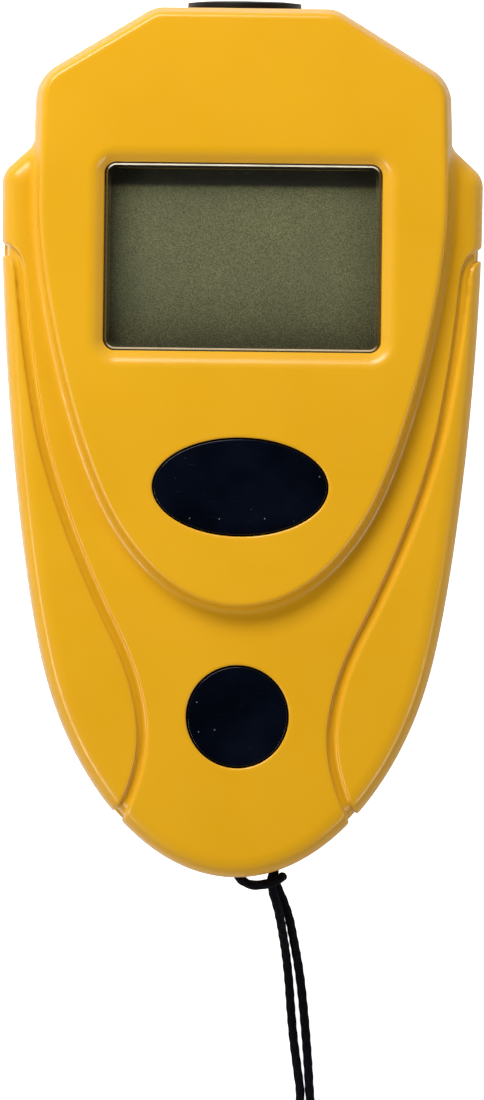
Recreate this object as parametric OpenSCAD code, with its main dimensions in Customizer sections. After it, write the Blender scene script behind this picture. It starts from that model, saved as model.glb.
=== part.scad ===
// Pocket infrared thermometer, lying on its back with the display facing up.
// X runs across the case, Y towards the sensor nose, Z out of the display face.
// The origin is below the middle of the case, on the surface it lies on. All sizes are in millimetres.

/* [Case] */
// Width of the case across its widest part
case_w = 58.4; // [58:0.1:58.8]
// Length of the case without the sensor collar
case_l = 105.6; // [105.2:0.1:106]
// Thickness of the case at the raised centre
case_t = 25; // [24.8:0.1:25.4]
// Width of the block at the sensor end
head_w = 50.8; // [50.4:0.1:51]
// Step from the raised centre down to the deck around it
deck_step = 2.5; // [2.2:0.1:2.6]
// Wall thickness of both shells
wall = 2; // [1.8:0.1:2.1]
// Height at which the two shells part
parting_z = 12; // [11.9:0.1:12.1]
// Width of the bevel around the raised centre
centre_bevel = 1.1; // [0.8:0.1:1.3]
// Width of the bevel around the deck
deck_bevel = 1.8; // [1.2:0.1:2]
// Width of the groove that follows each side of the deck
groove_w = 1.1; // [0.9:0.1:1.3]
// Depth of the side grooves
groove_d = 0.5; // [0.3:0.1:0.6]

/* [Display] */
// Width of the clear window
window_w = 33.6; // [33:0.1:34]
// Length of the clear window
window_l = 22.8; // [22.4:0.1:23]
// Thickness of the clear window
window_t = 1.5; // [1.4:0.1:1.6]
// Distance of the window's middle from the middle of the case
window_y = 22; // [21.9:0.1:22.2]
// Width of the sloping frame around the window
frame_w = 1.2; // [1:0.1:1.4]

/* [Buttons] */
// Width of the oval measuring button
measure_w = 21; // [20.8:0.1:21.2]
// Length of the oval measuring button
measure_l = 11.6; // [11.4:0.1:11.8]
// Distance of the measuring button from the middle of the case
measure_y = -5.8; // [-6:0.1:-5.6]
// Diameter of the round mode button
mode_d = 12.1; // [11.9:0.1:12.3]
// Distance of the mode button from the middle of the case
mode_y = -33.6; // [-33.8:0.1:-33.4]
// How far a button travels
button_travel = 0.8; // [0.6:0.1:0.8]
// Gap between a button and its hole
button_gap = 0.2; // [0.15:0.05:0.25]

/* [Sensor] */
// Diameter of the black collar in the nose
collar_d = 13.8; // [13.6:0.1:14]
// How far the collar stands out of the nose
collar_proud = 0.8; // [0.6:0.1:0.9]
// Diameter of the infrared lens
lens_d = 10; // [9.8:0.1:10.2]

/* [Battery bay] */
// Diameter of one cell
cell_d = 10.5; // [10.3:0.1:10.5]
// Length of one cell with its positive tip
cell_l = 44.5; // [44.3:0.1:44.5]
// Height of the cells' axes
cell_z = 7.6; // [7.5:0.1:7.7]

/* [Lanyard] */
// Diameter of the cord
cord_d = 1.1; // [1:0.05:1.1]
// Height of the lanyard post's middle
lug_z = 8.6; // [8.5:0.1:8.7]

/* [Hidden] */
$fn = 48;

// A thin slice, for the levels that a hull joins
slice = 0.01;
// How far a cutting shape runs past the face it cuts
past = 0.5;

// Case levels and ends. The collar and the case together are centred on the origin.
bottom_y = -(case_l + collar_proud) / 2;
top_y = bottom_y + case_l;
half_w = case_w / 2;
half_head = head_w / 2;
deck_z = case_t - deck_step;
deck_ceiling = deck_z - wall;
centre_ceiling = case_t - wall;
shoulder_y = top_y - 16.8;
shoulder_r = 3;
back_bevel = 3;
tongue_h = 1.2;
tongue_w = wall / 2;
tongue_gap = 0.05;

// Circuit board
board_t = 1.6;
board_z = 14.8;
board_top = board_z + board_t;
board_inset = wall + 1.2;
board_shoulder_r = 6;
board_tail_y = -46;
hole_slack = 0.2;

// Window pocket, its seal and the ledge that holds both
frame_d = 1;
window_z = case_t - frame_d - window_t;
gasket_t = 0.3;
gasket_w = 0.7;
ledge_t = 0.5;
ledge_margin = 2.2;
window_r = 1;

// Display stack
lcd_w = 37;
lcd_l = 27;
lcd_t = 2;
lcd_z = board_top + 2.3;
film_t = 0.2;
holder_wall = 1.6;
holder_top = window_z - gasket_t - ledge_t;
strip_w = 2.2;
strip_y = 12;

// Keypad under the two buttons
mat_t = button_travel + 0.1;
mat_w = 20;
mat_l = 44;
mat_r = 3;
mat_top = board_top + mat_t;
mat_hole_r = 4.6;
dome_h = 2.2;
dome_wall = 0.7;
dome_foot_w = 0.8;
dome_foot_t = 0.4;
dome_skin = 0.3;
dome_top = mat_top + dome_h;
pill_r = 2.2;
pill_t = 0.8;
pad_t = 0.05;
pad_gap = 0.4;
pad_r = pill_r + 0.3;
post_wall = 0.6;
flange_w = 1.2;
flange_t = 1.2;
flange_slack = 0.05;
cap_recess = 0.2;
cap_edge = 0.5;

// Screws through the case and through the board
case_screw_sites = [[-19, 41.3], [19, 41.3], [-16.5, -30], [16.5, -30]];
board_screw_sites = [[-22.5, 26], [22.5, 26], [-20.5, -12], [20.5, -12]];
boss_r = 3;
screw_head_r = 2.1;
screw_head_t = 1.4;
screw_well = 2.6;
case_shank_r = 1;
case_shank_top = 17;
board_boss_r = 2.2;
board_head_r = 1.7;
board_head_t = 1.2;
board_shank_r = 0.8;
board_shank_top = 19.4;
cross_w = 0.5;
cross_l = 2.4;
cross_d = 0.8;

// Electronics: the middle and the size of each part
chip_side = 10;
chip_t = 1.4;
converter_place = [-9, 28];
converter_size = [6, 5, 1.5];
crystal_place = [-16, 20];
crystal_size = [8, 3.2, 2.5];
crystal_r = 1.5;
capacitor_place = [2, 32.5];
capacitor_size = [1.6, 2.6, 1.2];
capacitor_pitch = 3;
capacitor_count = 4;
buzzer_place = [13, 21];
buzzer_r = 6;
buzzer_h = 4;
buzzer_port_r = 1;
buzzer_port_h = 1;

// Sensor
sensor_z = parting_z;
collar_neck_r = 6.2;
collar_fit = 0.05;
collar_inner_t = 1.2;
collar_bore_r = 4.4;
collar_lip = 0.35;
collar_slope_w = 0.9;
lens_seat = 0.8;
barrel_r = 6;
barrel_bore_r = 4.7;
barrel_back_y = 38;
barrel_front_y = top_y - wall - collar_inner_t;
lens_t = 1.2;
lens_back_y = barrel_front_y + collar_inner_t + lens_seat - lens_t;
can_r = 4.1;
can_flange_r = 4.6;
can_l = 3.4;
can_flange_t = 0.6;
can_clearance = 0.1;
lead_r = 0.225;
lead_pitch = 1.8;
lead_stagger = 0.7;

// Battery bay and door
bay_half = 11.6;
bay_wall = 1.6;
bay_low_y = -39.5;
bay_high_y = 10;
bay_roof_z = 13.1;
bay_roof_t = 1.2;
floor_t = 2;
cell_x = 5.4;
tip_r = 1.9;
tip_l = 1;
door_half = 12.45;
door_high_y = 10.8;
door_low_y = -39.35;
door_recess = 0.2;
door_gap = 0.15;
door_t = floor_t - door_recess - 0.05;
hinge_y = 11;
hook_x = 7.5;
hook_slack = 0.6;
hook_slot_z = 4.4;
hook_w = 4.8;
hook_root_y = 9.8;
hook_tip_y = 13;
hook_z = 2.2;
hook_t = 1.2;
latch_w = 6;
latch_l = 0.7;
latch_stem = 0.8;
latch_slot_l = 1.2;
latch_slot_z = 3.8;
thumb_w = 14;
thumb_l = 3;
thumb_d = 1.2;
rib_count = 5;
rib_pitch = 1.6;
rib_gap = 0.8;
rib_d = 0.6;
rib_low_y = door_low_y + 4.75;
plate_t = 0.4;
plate_w = 8.5;
plate_z = 4.4;
plate_h = 7.8;
bump_r = 1.6;
tab_w = 2;
tab_slack = 0.1;
spring_wire = 0.6;
spring_turns = 3;
spring_r = 3;
spring_taper = 0.9;
spring_bite = 0.1;

// Lanyard post and the slot around it
post_x = 2.5;
post_y = bottom_y + 1.6;
post_r = 1.55;
slot_r = 3.25;
slot_h = 3.4;
lug_block = [13, 6.6, 7.4];

// Cord route from inside the slot, out of its right mouth, down to the table and on to the hank
cord_out = [
    [2.5, -49.2, 8], [3.8, -49.6, 8], [4.7, -50.7, 8], [4.9, -52, 8], [4.85, -53.2, 7.95],
    [5.2, -54.2, 7.6], [5.7, -55.3, 7.1], [6.25, -56.6, 6.3], [6.85, -58.4, 5], [7.25, -60.2, 3.6],
    [7.65, -62.1, 2.2], [8.05, -64.2, 1.1], [8.4, -66.5, 0.65], [8.75, -69.5, 0.55], [9.1, -73, 0.55],
    [9.4, -76.6, 0.55], [9.65, -80, 0.55], [10.1, -83, 0.55], [11.1, -86, 0.55], [12.5, -88.8, 0.6],
    [13.6, -91.6, 0.8], [14, -95, 0.95]
];
// Cord route from the hank back up to the post, through the slot, round both strands and in again
cord_back = [
    [3, -95, 2.05], [3.35, -91.6, 1.6], [4.7, -88.6, 0.95], [6.6, -85.9, 0.6], [7.95, -83, 0.55],
    [8.45, -80, 0.55], [8.05, -76.6, 0.55], [7.55, -73, 0.55], [7.2, -69.5, 0.55], [6.95, -66.5, 0.7],
    [6.7, -64.2, 1.4], [6.4, -62.1, 2.9], [6.05, -60.2, 4.7], [5.7, -58.4, 6.5], [5.25, -56.6, 8],
    [4.75, -55, 8.9], [4.55, -53.4, 9.2], [4.85, -52, 9.2], [4.6, -50.7, 9.2], [3.8, -49.6, 9.2],
    [2.5, -49.2, 9.2], [1.2, -49.6, 9.2], [0.3, -50.7, 9.2], [0.1, -52, 9.25], [0.6, -53.2, 9.5],
    [1.9, -54.1, 10.25], [3.5, -54.1, 10.65], [4.8, -53.75, 10.3], [5.65, -53.25, 9.55],
    [5.9, -53.1, 8.3], [5.65, -53.25, 7.05], [4.8, -53.75, 6.3], [3.5, -54.1, 6], [1.9, -54.1, 6.5],
    [0.6, -53.3, 7.5], [0.1, -52, 7.95], [0.3, -50.7, 8], [1.2, -49.6, 8]
];
cord_sides = 8;

// Hank of the cord that is put away, and its tie
hank_x = 8.5;
hank_high_y = -95;
hank_low_y = -109.5;
hank_r = 5.5;
hank_layers = 2;
tie_t = 0.4;
tie_w = 3;

// ---------- outlines ----------

function unit(v) = v / norm(v);

// Points of a curve from a to d, steered by b and c
function curve(a, b, c, d, steps = 16) = [
    for (i = [1:steps]) let (t = i / steps, s = 1 - t)
        s * s * s * a + 3 * s * s * t * b + 3 * s * t * t * c + t * t * t * d
];

// Points of a round corner of radius r at p, between the lines to a and to b
function corner(a, p, b, r, steps = 5) =
    let (
        u = unit(a - p),
        v = unit(b - p),
        half = acos(u * v) / 2,
        centre = p + unit(u + v) * r / sin(half),
        from = p + u * r / tan(half) - centre,
        to = p + v * r / tan(half) - centre
    )
    [for (i = [0:steps]) centre + unit(from * (steps - i) + to * i) * r];

// A right-hand half outline from the nose end to the tail, joined to its mirror image
function both_sides(half) = concat(
    half,
    [for (i = [len(half) - 1:-1:0]) if (half[i][0] > slice) [-half[i][0], half[i][1]]]
);

// An outline moved in by d, for points that run clockwise
function inset(points, d) = [
    for (i = [0:len(points) - 1])
        let (
            n = len(points),
            along = unit(points[(i + 1) % n] - points[(i + n - 1) % n])
        )
        points[i] + [along[1], -along[0]] * d
];

function ellipse(w, l, n = 48) = [for (i = [0:n - 1]) [w / 2 * cos(i * 360 / n), l / 2 * sin(i * 360 / n)]];

nose_end = [11, top_y];
head_side = [half_head - 0.2, top_y - 8.7];
head_foot = [half_head, shoulder_y];
head_corners = concat(
    corner([0, top_y], nose_end, head_side, 4),
    corner(nose_end, head_side, head_foot, 5),
    [head_foot]
);

// Raised centre: the whole sensor end, closing in a U above the mode button
centre_outline = both_sides(concat(
    head_corners,
    [[half_head - 0.2, 29.6]],
    curve([half_head - 0.2, 29.6], [half_head - 0.2, 19], [21.5, 3], [17.3, -6.5]),
    curve([17.3, -6.5], [14.9, -12.1], [9, -20.8], [0, -20.8])
));

// Deck: the wide part of the case, down to the lanyard end, with shoulders of radius r
function deck_shape(r) = both_sides(concat(
    [head_foot],
    corner(head_foot, [half_w, shoulder_y - 3.5], [half_w, 0], r),
    curve([half_w, 28.6], [half_w - 0.15, 7.2], [half_w - 3.1, -18.8], [half_w - 5.95, -29]),
    curve([half_w - 5.95, -29], [half_w - 9.3, -41.2], [11.1, bottom_y], [0, bottom_y])
));
deck_outline = deck_shape(shoulder_r);

// Head block alone, cut off level below the shoulders
head_outline = both_sides(concat(head_corners, [[half_head, shoulder_y - 16]]));

// Middle line of the right-hand groove, from one edge of the deck to the other
groove_line = concat(
    [[half_w + 1, 22.9], [half_w - 1.4, 22], [half_w - 2.2, 20.4]],
    curve([half_w - 2.3, 19.6], [half_w - 3.1, 3.5], [19.8, -14.6], [14.1, -25.1]),
    curve([14.1, -25.1], [11.6, -29.7], [9.5, -39.4], [15.2, -47.2])
);

// A band of width w along a line
function band(line, w) =
    let (
        last = len(line) - 1,
        side = [
            for (i = [0:last])
                let (along = unit(line[min(i + 1, last)] - line[max(i - 1, 0)]))
                [along[1], -along[0]] * w / 2
        ]
    )
    concat(
        [for (i = [0:last]) line[i] + side[i]],
        [for (i = [last:-1:0]) line[i] - side[i]]
    );

// ---------- building blocks ----------

// A solid between two levels
module slab(points, low, high) {
    translate([0, 0, low]) linear_extrude(high - low) polygon(points);
}

// A solid whose outline is drawn in by bevel at its top
module bevelled_top(points, low, high, bevel) {
    hull() {
        slab(points, low, high - bevel);
        slab(inset(points, bevel), high - slice, high);
    }
}

// A solid whose outline is drawn in by bevel at its bottom
module bevelled_bottom(points, low, high, bevel) {
    hull() {
        slab(inset(points, bevel), low, low + slice);
        slab(points, low + bevel, high);
    }
}

// A block centred on x and y, between two levels
module block(x, y, w, l, low, high) {
    translate([x - w / 2, y - l / 2, low]) cube([w, l, high - low]);
}

// An upright round rod between two levels
module rod(x, y, r, low, high) {
    translate([x, y, low]) cylinder(r = r, h = high - low);
}

// A block with round upright edges
module round_block(x, y, w, l, r, low, high) {
    sides = [[w / 2, l / 2], [w / 2, -l / 2], [-w / 2, -l / 2], [-w / 2, l / 2]];
    outline = [
        for (i = [0:3]) each corner(sides[(i + 3) % 4], sides[i], sides[(i + 1) % 4], r)
    ];
    translate([x, y, 0]) slab(outline, low, high);
}

// A shape drawn along +Z, laid along +Y on the sensor's axis with its start at y
module on_sensor_axis(y) {
    translate([0, y, sensor_z]) rotate([-90, 0, 0]) children();
}

// A round tube along a route, as rings joined by triangles
module tube(route, d, sides) {
    last = len(route) - 1;
    along = [for (i = [0:last]) unit(route[min(i + 1, last)] - route[max(i - 1, 0)])];
    rings = [
        for (i = [0:last], k = [0:sides - 1])
            let (
                level = abs(along[i][2]) < 0.95 ? [0, 0, 1] : [0, 1, 0],
                u = unit(cross(level, along[i])),
                v = cross(along[i], u),
                turn = k * 360 / sides
            )
            route[i] + (u * cos(turn) + v * sin(turn)) * d / 2
    ];
    walls = [
        for (i = [0:last - 1], k = [0:sides - 1])
            let (a = i * sides + k, b = i * sides + (k + 1) % sides)
            each [[a, b + sides, b], [a, a + sides, b + sides]]
    ];
    caps = [
        [for (k = [0:sides - 1]) k],
        [for (k = [sides - 1:-1:0]) last * sides + k]
    ];
    polyhedron(points = rings, faces = concat(walls, caps));
}

// ---------- case ----------

module case_boss(x, y, low, high) {
    rod(x, y, boss_r, low, high);
}

module front_cavity() {
    slab(inset(deck_outline, wall), parting_z - past, deck_ceiling);
    slab(inset(centre_outline, wall), parting_z - past, centre_ceiling);
    slab(inset(deck_outline, tongue_w - tongue_gap), parting_z - past, parting_z + tongue_h + tongue_gap);
    slab(inset(head_outline, tongue_w - tongue_gap), parting_z - past, parting_z + tongue_h + tongue_gap);
}

module window_cut() {
    opening_w = window_w - 2 * gasket_w;
    opening_l = window_l - 2 * gasket_w;
    round_block(0, window_y, opening_w, opening_l, window_r, holder_top - past, case_t);
    round_block(0, window_y, window_w, window_l, window_r, window_z - gasket_t, case_t);
    hull() {
        round_block(0, window_y, window_w, window_l, window_r, case_t - frame_d, case_t - frame_d + slice);
        round_block(
            0, window_y, window_w + 2 * frame_w + past, window_l + 2 * frame_w + past,
            window_r + frame_w, case_t + past / 2, case_t + past / 2 + slice
        );
    }
}

module button_holes() {
    translate([0, measure_y]) slab(
        ellipse(measure_w + 2 * button_gap, measure_l + 2 * button_gap), deck_ceiling, case_t + past
    );
    rod(0, mode_y, mode_d / 2 + button_gap, deck_ceiling - past, deck_z + past);
}

module side_grooves() {
    for (side = [0, 1]) mirror([side, 0, 0]) {
        slab(band(groove_line, groove_w), deck_z - groove_d, deck_z + past);
        for (end = [[half_w, 23.4], [14.9, -45.9]])
            block(end[0], end[1], 2 * groove_d, groove_w, parting_z + past, deck_z + past);
    }
}

module sensor_hole() {
    on_sensor_axis(top_y - wall - past) cylinder(r = collar_neck_r, h = wall + 2 * past);
}

module front_shell() {
    color("#f0b02c") difference() {
        union() {
            difference() {
                union() {
                    bevelled_top(deck_outline, parting_z, deck_z, deck_bevel);
                    bevelled_top(centre_outline, parting_z, case_t, centre_bevel);
                }
                front_cavity();
                side_grooves();
            }
            round_block(
                0, window_y, window_w + 2 * ledge_margin, window_l + 2 * ledge_margin,
                window_r, holder_top, centre_ceiling + past
            );
            for (p = case_screw_sites)
                case_boss(p[0], p[1], parting_z, (p[1] > 0 ? centre_ceiling : deck_ceiling) + past);
            for (p = board_screw_sites)
                rod(p[0], p[1], board_boss_r, board_top, deck_ceiling + past);
        }
        window_cut();
        button_holes();
        sensor_hole();
        for (p = case_screw_sites) rod(p[0], p[1], case_shank_r, parting_z - past, case_shank_top);
        for (p = board_screw_sites) rod(p[0], p[1], board_shank_r, board_top - past, board_shank_top);
    }
}

module bay_box() {
    outer = bay_half + bay_wall;
    length = bay_high_y - bay_low_y;
    middle = (bay_high_y + bay_low_y) / 2;
    block(0, middle, 2 * outer, length + 2 * bay_wall, floor_t - slice, bay_roof_z + bay_roof_t);
}

module bay_cut() {
    length = bay_high_y - bay_low_y;
    middle = (bay_high_y + bay_low_y) / 2;
    block(0, middle, 2 * bay_half, length, -past, bay_roof_z);
    // Opening for the door, with a lip over its hooks
    block(0, (hinge_y + bay_low_y) / 2, 2 * (door_half + door_gap), hinge_y - bay_low_y, -past, floor_t);
    for (side = [-1, 1])
        block(
            side * hook_x, bay_high_y + bay_wall / 2, hook_w + hook_slack, 2 * bay_wall,
            floor_t, hook_slot_z
        );
    // Thumb notch and the slot behind the latch
    hull() for (x = [-1, 1]) rod(x * (thumb_w - thumb_l) / 2, bay_low_y, thumb_l, -past, thumb_d);
    block(0, bay_low_y - latch_slot_l / 2 + 0.1, latch_w + hook_slack, latch_slot_l, 0, latch_slot_z);
    // Slots for the contacts' tabs
    for (side = [-1, 1])
        block(
            side * cell_x, bay_high_y - plate_t / 2, tab_w + 2 * tab_slack, plate_t + tab_slack,
            bay_roof_z - past, board_z
        );
}

module lug_slot() {
    translate([post_x, post_y, lug_z - slot_h / 2]) rotate_extrude()
        translate([post_r, 0]) square([slot_r - post_r, slot_h]);
}

module back_shell() {
    color("#e8a62a") difference() {
        union() {
            difference() {
                union() {
                    bevelled_bottom(deck_outline, 0, parting_z, back_bevel);
                    bevelled_bottom(head_outline, 0, parting_z, back_bevel);
                    slab(inset(deck_outline, tongue_w), parting_z - past, parting_z + tongue_h);
                    slab(inset(head_outline, tongue_w), parting_z - past, parting_z + tongue_h);
                }
                slab(inset(deck_outline, wall), floor_t, parting_z + tongue_h + past);
                slab(inset(head_outline, wall), floor_t, parting_z + tongue_h + past);
            }
            bay_box();
            for (p = case_screw_sites) case_boss(p[0], p[1], floor_t - past, parting_z);
            intersection() {
                translate([post_x - lug_block[0] / 2, bottom_y, lug_z - lug_block[2] / 2]) cube(lug_block);
                slab(inset(deck_outline, tongue_w / 2), 0, parting_z);
            }
        }
        bay_cut();
        sensor_hole();
        lug_slot();
        for (p = case_screw_sites) {
            rod(p[0], p[1], screw_head_r + 1.5 * hole_slack, -past, screw_well + screw_head_t);
            rod(p[0], p[1], case_shank_r + hole_slack, screw_well, parting_z + past);
        }
    }
}

module battery_door() {
    color("#e8a62a") difference() {
        union() {
            block(0, (door_high_y + door_low_y) / 2, 2 * door_half, door_high_y - door_low_y,
                door_recess, door_recess + door_t);
            for (side = [-1, 1]) {
                block(side * hook_x, (hook_root_y + door_high_y) / 2, hook_w, door_high_y - hook_root_y,
                    door_recess + door_t - past, hook_z + hook_t);
                block(side * hook_x, (hook_root_y + hook_tip_y) / 2, hook_w, hook_tip_y - hook_root_y,
                    hook_z, hook_z + hook_t);
            }
            block(0, door_low_y + latch_stem / 2, latch_w, latch_stem, door_recess, hook_z + hook_t);
            block(0, door_low_y - latch_l / 2 + slice, latch_w, latch_l, hook_z, hook_z + hook_t);
        }
        // Finger ribs, cut between them
        for (i = [0:rib_count - 1]) block(0, rib_low_y + rib_pitch * i, thumb_w, rib_gap, 0, rib_d);
    }
}

module case_screw(x, y) {
    translate([x, y, 0]) difference() {
        union() {
            rod(0, 0, screw_head_r, screw_well, screw_well + screw_head_t);
            rod(0, 0, case_shank_r, screw_well + screw_head_t - slice, case_shank_top - past);
        }
        for (turn = [0, 90]) rotate(turn)
            block(0, 0, cross_l, cross_w, screw_well - past, screw_well + cross_d);
    }
}

module case_screws() {
    color("#8d9095") for (p = case_screw_sites) case_screw(p[0], p[1]);
}

module board_screws() {
    color("#8d9095") for (p = board_screw_sites) {
        rod(p[0], p[1], board_head_r, board_z - board_head_t, board_z);
        rod(p[0], p[1], board_shank_r, board_z - slice, board_shank_top - past);
    }
}

// ---------- display ----------

module display_window() {
    color("#cfd8dc") round_block(0, window_y, window_w, window_l, window_r, window_z, window_z + window_t);
}

module window_gasket() {
    color("#17181a") difference() {
        round_block(0, window_y, window_w, window_l, window_r, window_z - gasket_t, window_z);
        round_block(
            0, window_y, window_w - 2 * gasket_w, window_l - 2 * gasket_w,
            window_r, window_z - gasket_t - past, window_z + past
        );
    }
}

module lcd_cell() {
    color("#6a6b52") block(0, window_y, lcd_w, lcd_l, lcd_z, lcd_z + lcd_t);
}

module lcd_polariser() {
    color("#5b5c46") block(0, window_y, lcd_w - 1.6, lcd_l - 1.6, lcd_z + lcd_t, lcd_z + lcd_t + film_t);
}

module lcd_reflector() {
    color("#b9bcb0") block(0, window_y, lcd_w - 1, 2 * strip_y - strip_w - 0.6, lcd_z - film_t, lcd_z);
}

module lcd_holder() {
    slack = 0.2;
    color("#1d1e20") difference() {
        round_block(
            0, window_y, lcd_w + 2 * holder_wall, lcd_l + 2 * holder_wall, 2, board_top, holder_top
        );
        block(0, window_y, lcd_w + slack, lcd_l + slack, board_top - past, lcd_z + lcd_t + film_t);
        block(0, window_y, window_w - gasket_w, window_l - gasket_w, board_top, holder_top + past);
    }
}

module zebra_strips() {
    color("#3b3c40") for (side = [-1, 1])
        block(0, window_y + side * strip_y, lcd_w - 2, strip_w, board_top, lcd_z);
}

// ---------- buttons and keypad ----------

module measure_button() {
    flange_top = centre_ceiling - flange_slack;
    color("#0c0d12") translate([0, measure_y]) {
        slab(
            ellipse(measure_w + 2 * flange_w, measure_l + 2 * flange_w),
            flange_top - flange_t, flange_top
        );
        hull() {
            slab(ellipse(measure_w, measure_l), flange_top - slice, case_t - cap_recess - cap_edge);
            slab(
                ellipse(measure_w - 2 * cap_edge, measure_l - 2 * cap_edge),
                case_t - cap_recess - slice, case_t - cap_recess
            );
        }
        rod(0, 0, pill_r + post_wall, dome_top, flange_top - flange_t + slice);
    }
}

module mode_button() {
    flange_top = deck_ceiling - flange_slack;
    color("#0c0d12") translate([0, mode_y, 0]) {
        rod(0, 0, mode_d / 2 + flange_w, dome_top, flange_top);
        rod(0, 0, mode_d / 2, flange_top - slice, deck_z - cap_recess - cap_edge);
        translate([0, 0, deck_z - cap_recess - cap_edge - slice])
            cylinder(r1 = mode_d / 2, r2 = mode_d / 2 - cap_edge, h = cap_edge + slice);
    }
}

module keypad_mat() {
    color("#4a4c52") difference() {
        round_block(0, (measure_y + mode_y) / 2, mat_w, mat_l, mat_r, board_top, mat_top);
        for (y = [measure_y, mode_y]) rod(0, y, mat_hole_r, board_top - past, mat_top + past);
    }
}

module dome(y) {
    foot = mat_hole_r + dome_foot_w;
    collar = pill_r + pad_t;
    translate([0, y, mat_top]) rotate_extrude() polygon([
        [mat_hole_r, 0], [foot, 0], [foot, dome_foot_t], [collar + dome_wall, dome_h],
        [collar, dome_h], [collar, dome_h - dome_foot_t], [mat_hole_r, dome_skin]
    ]);
}

module measure_dome() { color("#5a5c63") dome(measure_y); }

module mode_dome() { color("#5a5c63") dome(mode_y); }

module plunger(y) { rod(0, y, pill_r, mat_top + pill_t, dome_top); }

module measure_plunger() { color("#5a5c63") plunger(measure_y); }

module mode_plunger() { color("#5a5c63") plunger(mode_y); }

module pill(y) { rod(0, y, pill_r, mat_top, mat_top + pill_t); }

module measure_pill() { color("#202124") pill(measure_y); }

module mode_pill() { color("#202124") pill(mode_y); }

// Two half-round pads that a pill bridges, under each button
module contact_pads() {
    color("#c9a13b") for (y = [measure_y, mode_y]) difference() {
        rod(0, y, pad_r, board_top, board_top + pad_t);
        block(0, y, pad_gap, 2 * pad_r + past, board_top - past, board_top + past);
    }
}

// ---------- sensor ----------

module nose_collar() {
    flange_r = collar_d / 2;
    step_back = barrel_front_y;
    step_in = step_back + collar_inner_t;
    step_out = top_y;
    front = top_y + collar_proud;
    lens_r = lens_d / 2;
    color("#15110f") on_sensor_axis(0) rotate_extrude($fn = 96) polygon([
        [lens_r, step_back], [flange_r, step_back], [flange_r, step_in],
        [collar_neck_r - collar_fit, step_in], [collar_neck_r - collar_fit, step_out],
        [flange_r, step_out], [flange_r, step_out + collar_lip], [flange_r - collar_slope_w, front - 0.2],
        [collar_bore_r + 0.6, front], [collar_bore_r, front - 0.15],
        [collar_bore_r, step_in + lens_seat], [lens_r, step_in + lens_seat]
    ]);
}

module infrared_lens() {
    color("#3a3f45") on_sensor_axis(lens_back_y) cylinder(r = lens_d / 2, h = lens_t);
}

module sensor_barrel() {
    color("#26282b") difference() {
        union() {
            on_sensor_axis(barrel_back_y) cylinder(r = barrel_r, h = barrel_front_y - barrel_back_y);
            on_sensor_axis(barrel_front_y - slice)
                cylinder(r = lens_d / 2, h = lens_back_y - barrel_front_y + slice);
        }
        on_sensor_axis(barrel_back_y - past)
            cylinder(r = barrel_bore_r, h = can_l + 2 * can_flange_t + past);
        on_sensor_axis(barrel_back_y) cylinder(r = can_r, h = lens_back_y - barrel_back_y + past);
    }
}

module thermopile_can() {
    color("#b4b7ba") {
        on_sensor_axis(barrel_back_y) cylinder(r = can_flange_r, h = can_flange_t);
        on_sensor_axis(barrel_back_y + can_flange_t - slice) cylinder(r = can_r - can_clearance, h = can_l);
    }
}

// Four wires bent up from the sensor to the circuit board
module thermopile_leads() {
    color("#c8b070") for (x = [-lead_pitch, lead_pitch], row = [-1, 1]) {
        lead_y = barrel_back_y - lead_pitch + row * lead_stagger;
        lead_z = sensor_z + row * lead_pitch;
        translate([x, lead_y, lead_z]) rotate([-90, 0, 0]) cylinder(r = lead_r, h = barrel_back_y - lead_y);
        rod(x, lead_y, lead_r, lead_z - lead_r, board_z);
    }
}

// ---------- electronics ----------

module main_board() {
    cut_l = 20;
    slot_y = barrel_back_y - can_flange_t;
    color("#2f6b3c") difference() {
        union() {
            slab(inset(deck_shape(board_shoulder_r), board_inset), board_z, board_top);
            slab(inset(head_outline, board_inset), board_z, board_top);
        }
        block(0, board_tail_y - cut_l / 2, case_w, cut_l, board_z - past, board_top + past);
        block(0, slot_y + cut_l / 2, collar_d + 1, cut_l, board_z - past, board_top + past);
        for (p = case_screw_sites)
            rod(p[0], p[1], boss_r + 1.5 * hole_slack, board_z - past, board_top + past);
        for (p = board_screw_sites)
            rod(p[0], p[1], board_shank_r + hole_slack, board_z - past, board_top + past);
        for (side = [-1, 1])
            block(
                side * cell_x, bay_high_y - plate_t / 2, tab_w, plate_t, board_z - past, board_top + past
            );
    }
}

module controller_chip() {
    color("#1b1c1e") block(0, window_y, chip_side, chip_side, board_top, board_top + chip_t);
}

// A block of this size under the circuit board
module under_board(place, size) {
    block(place[0], place[1], size[0], size[1], board_z - size[2], board_z);
}

module converter_chip() {
    color("#1b1c1e") under_board(converter_place, converter_size);
}

module crystal() {
    color("#b9bcc0") round_block(
        crystal_place[0], crystal_place[1], crystal_size[0], crystal_size[1], crystal_r,
        board_z - crystal_size[2], board_z
    );
}

module capacitors() {
    color("#b08d57") for (i = [0:capacitor_count - 1])
        under_board(capacitor_place + [capacitor_pitch * i, 0], capacitor_size);
}

module buzzer() {
    color("#222326") difference() {
        rod(buzzer_place[0], buzzer_place[1], buzzer_r, board_z - buzzer_h, board_z);
        rod(
            buzzer_place[0], buzzer_place[1], buzzer_port_r,
            board_z - buzzer_h - past, board_z - buzzer_h + buzzer_port_h
        );
    }
}

// ---------- power ----------

// A cell lying along Y, with its positive tip at y = tip and pointing along way
module cell(x, tip, way) {
    translate([x, tip, cell_z]) rotate([way > 0 ? 90 : -90, 0, 0]) {
        cylinder(r = tip_r, h = tip_l + slice);
        translate([0, 0, tip_l]) cylinder(r = cell_d / 2, h = cell_l - tip_l);
    }
}

left_tip = bay_high_y - 2 * plate_t;
right_tip = bay_low_y + 2 * plate_t;

module battery_left() { color("#2b4f86") cell(-cell_x, left_tip, 1); }

module battery_right() { color("#2b4f86") cell(cell_x, right_tip, -1); }

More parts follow.
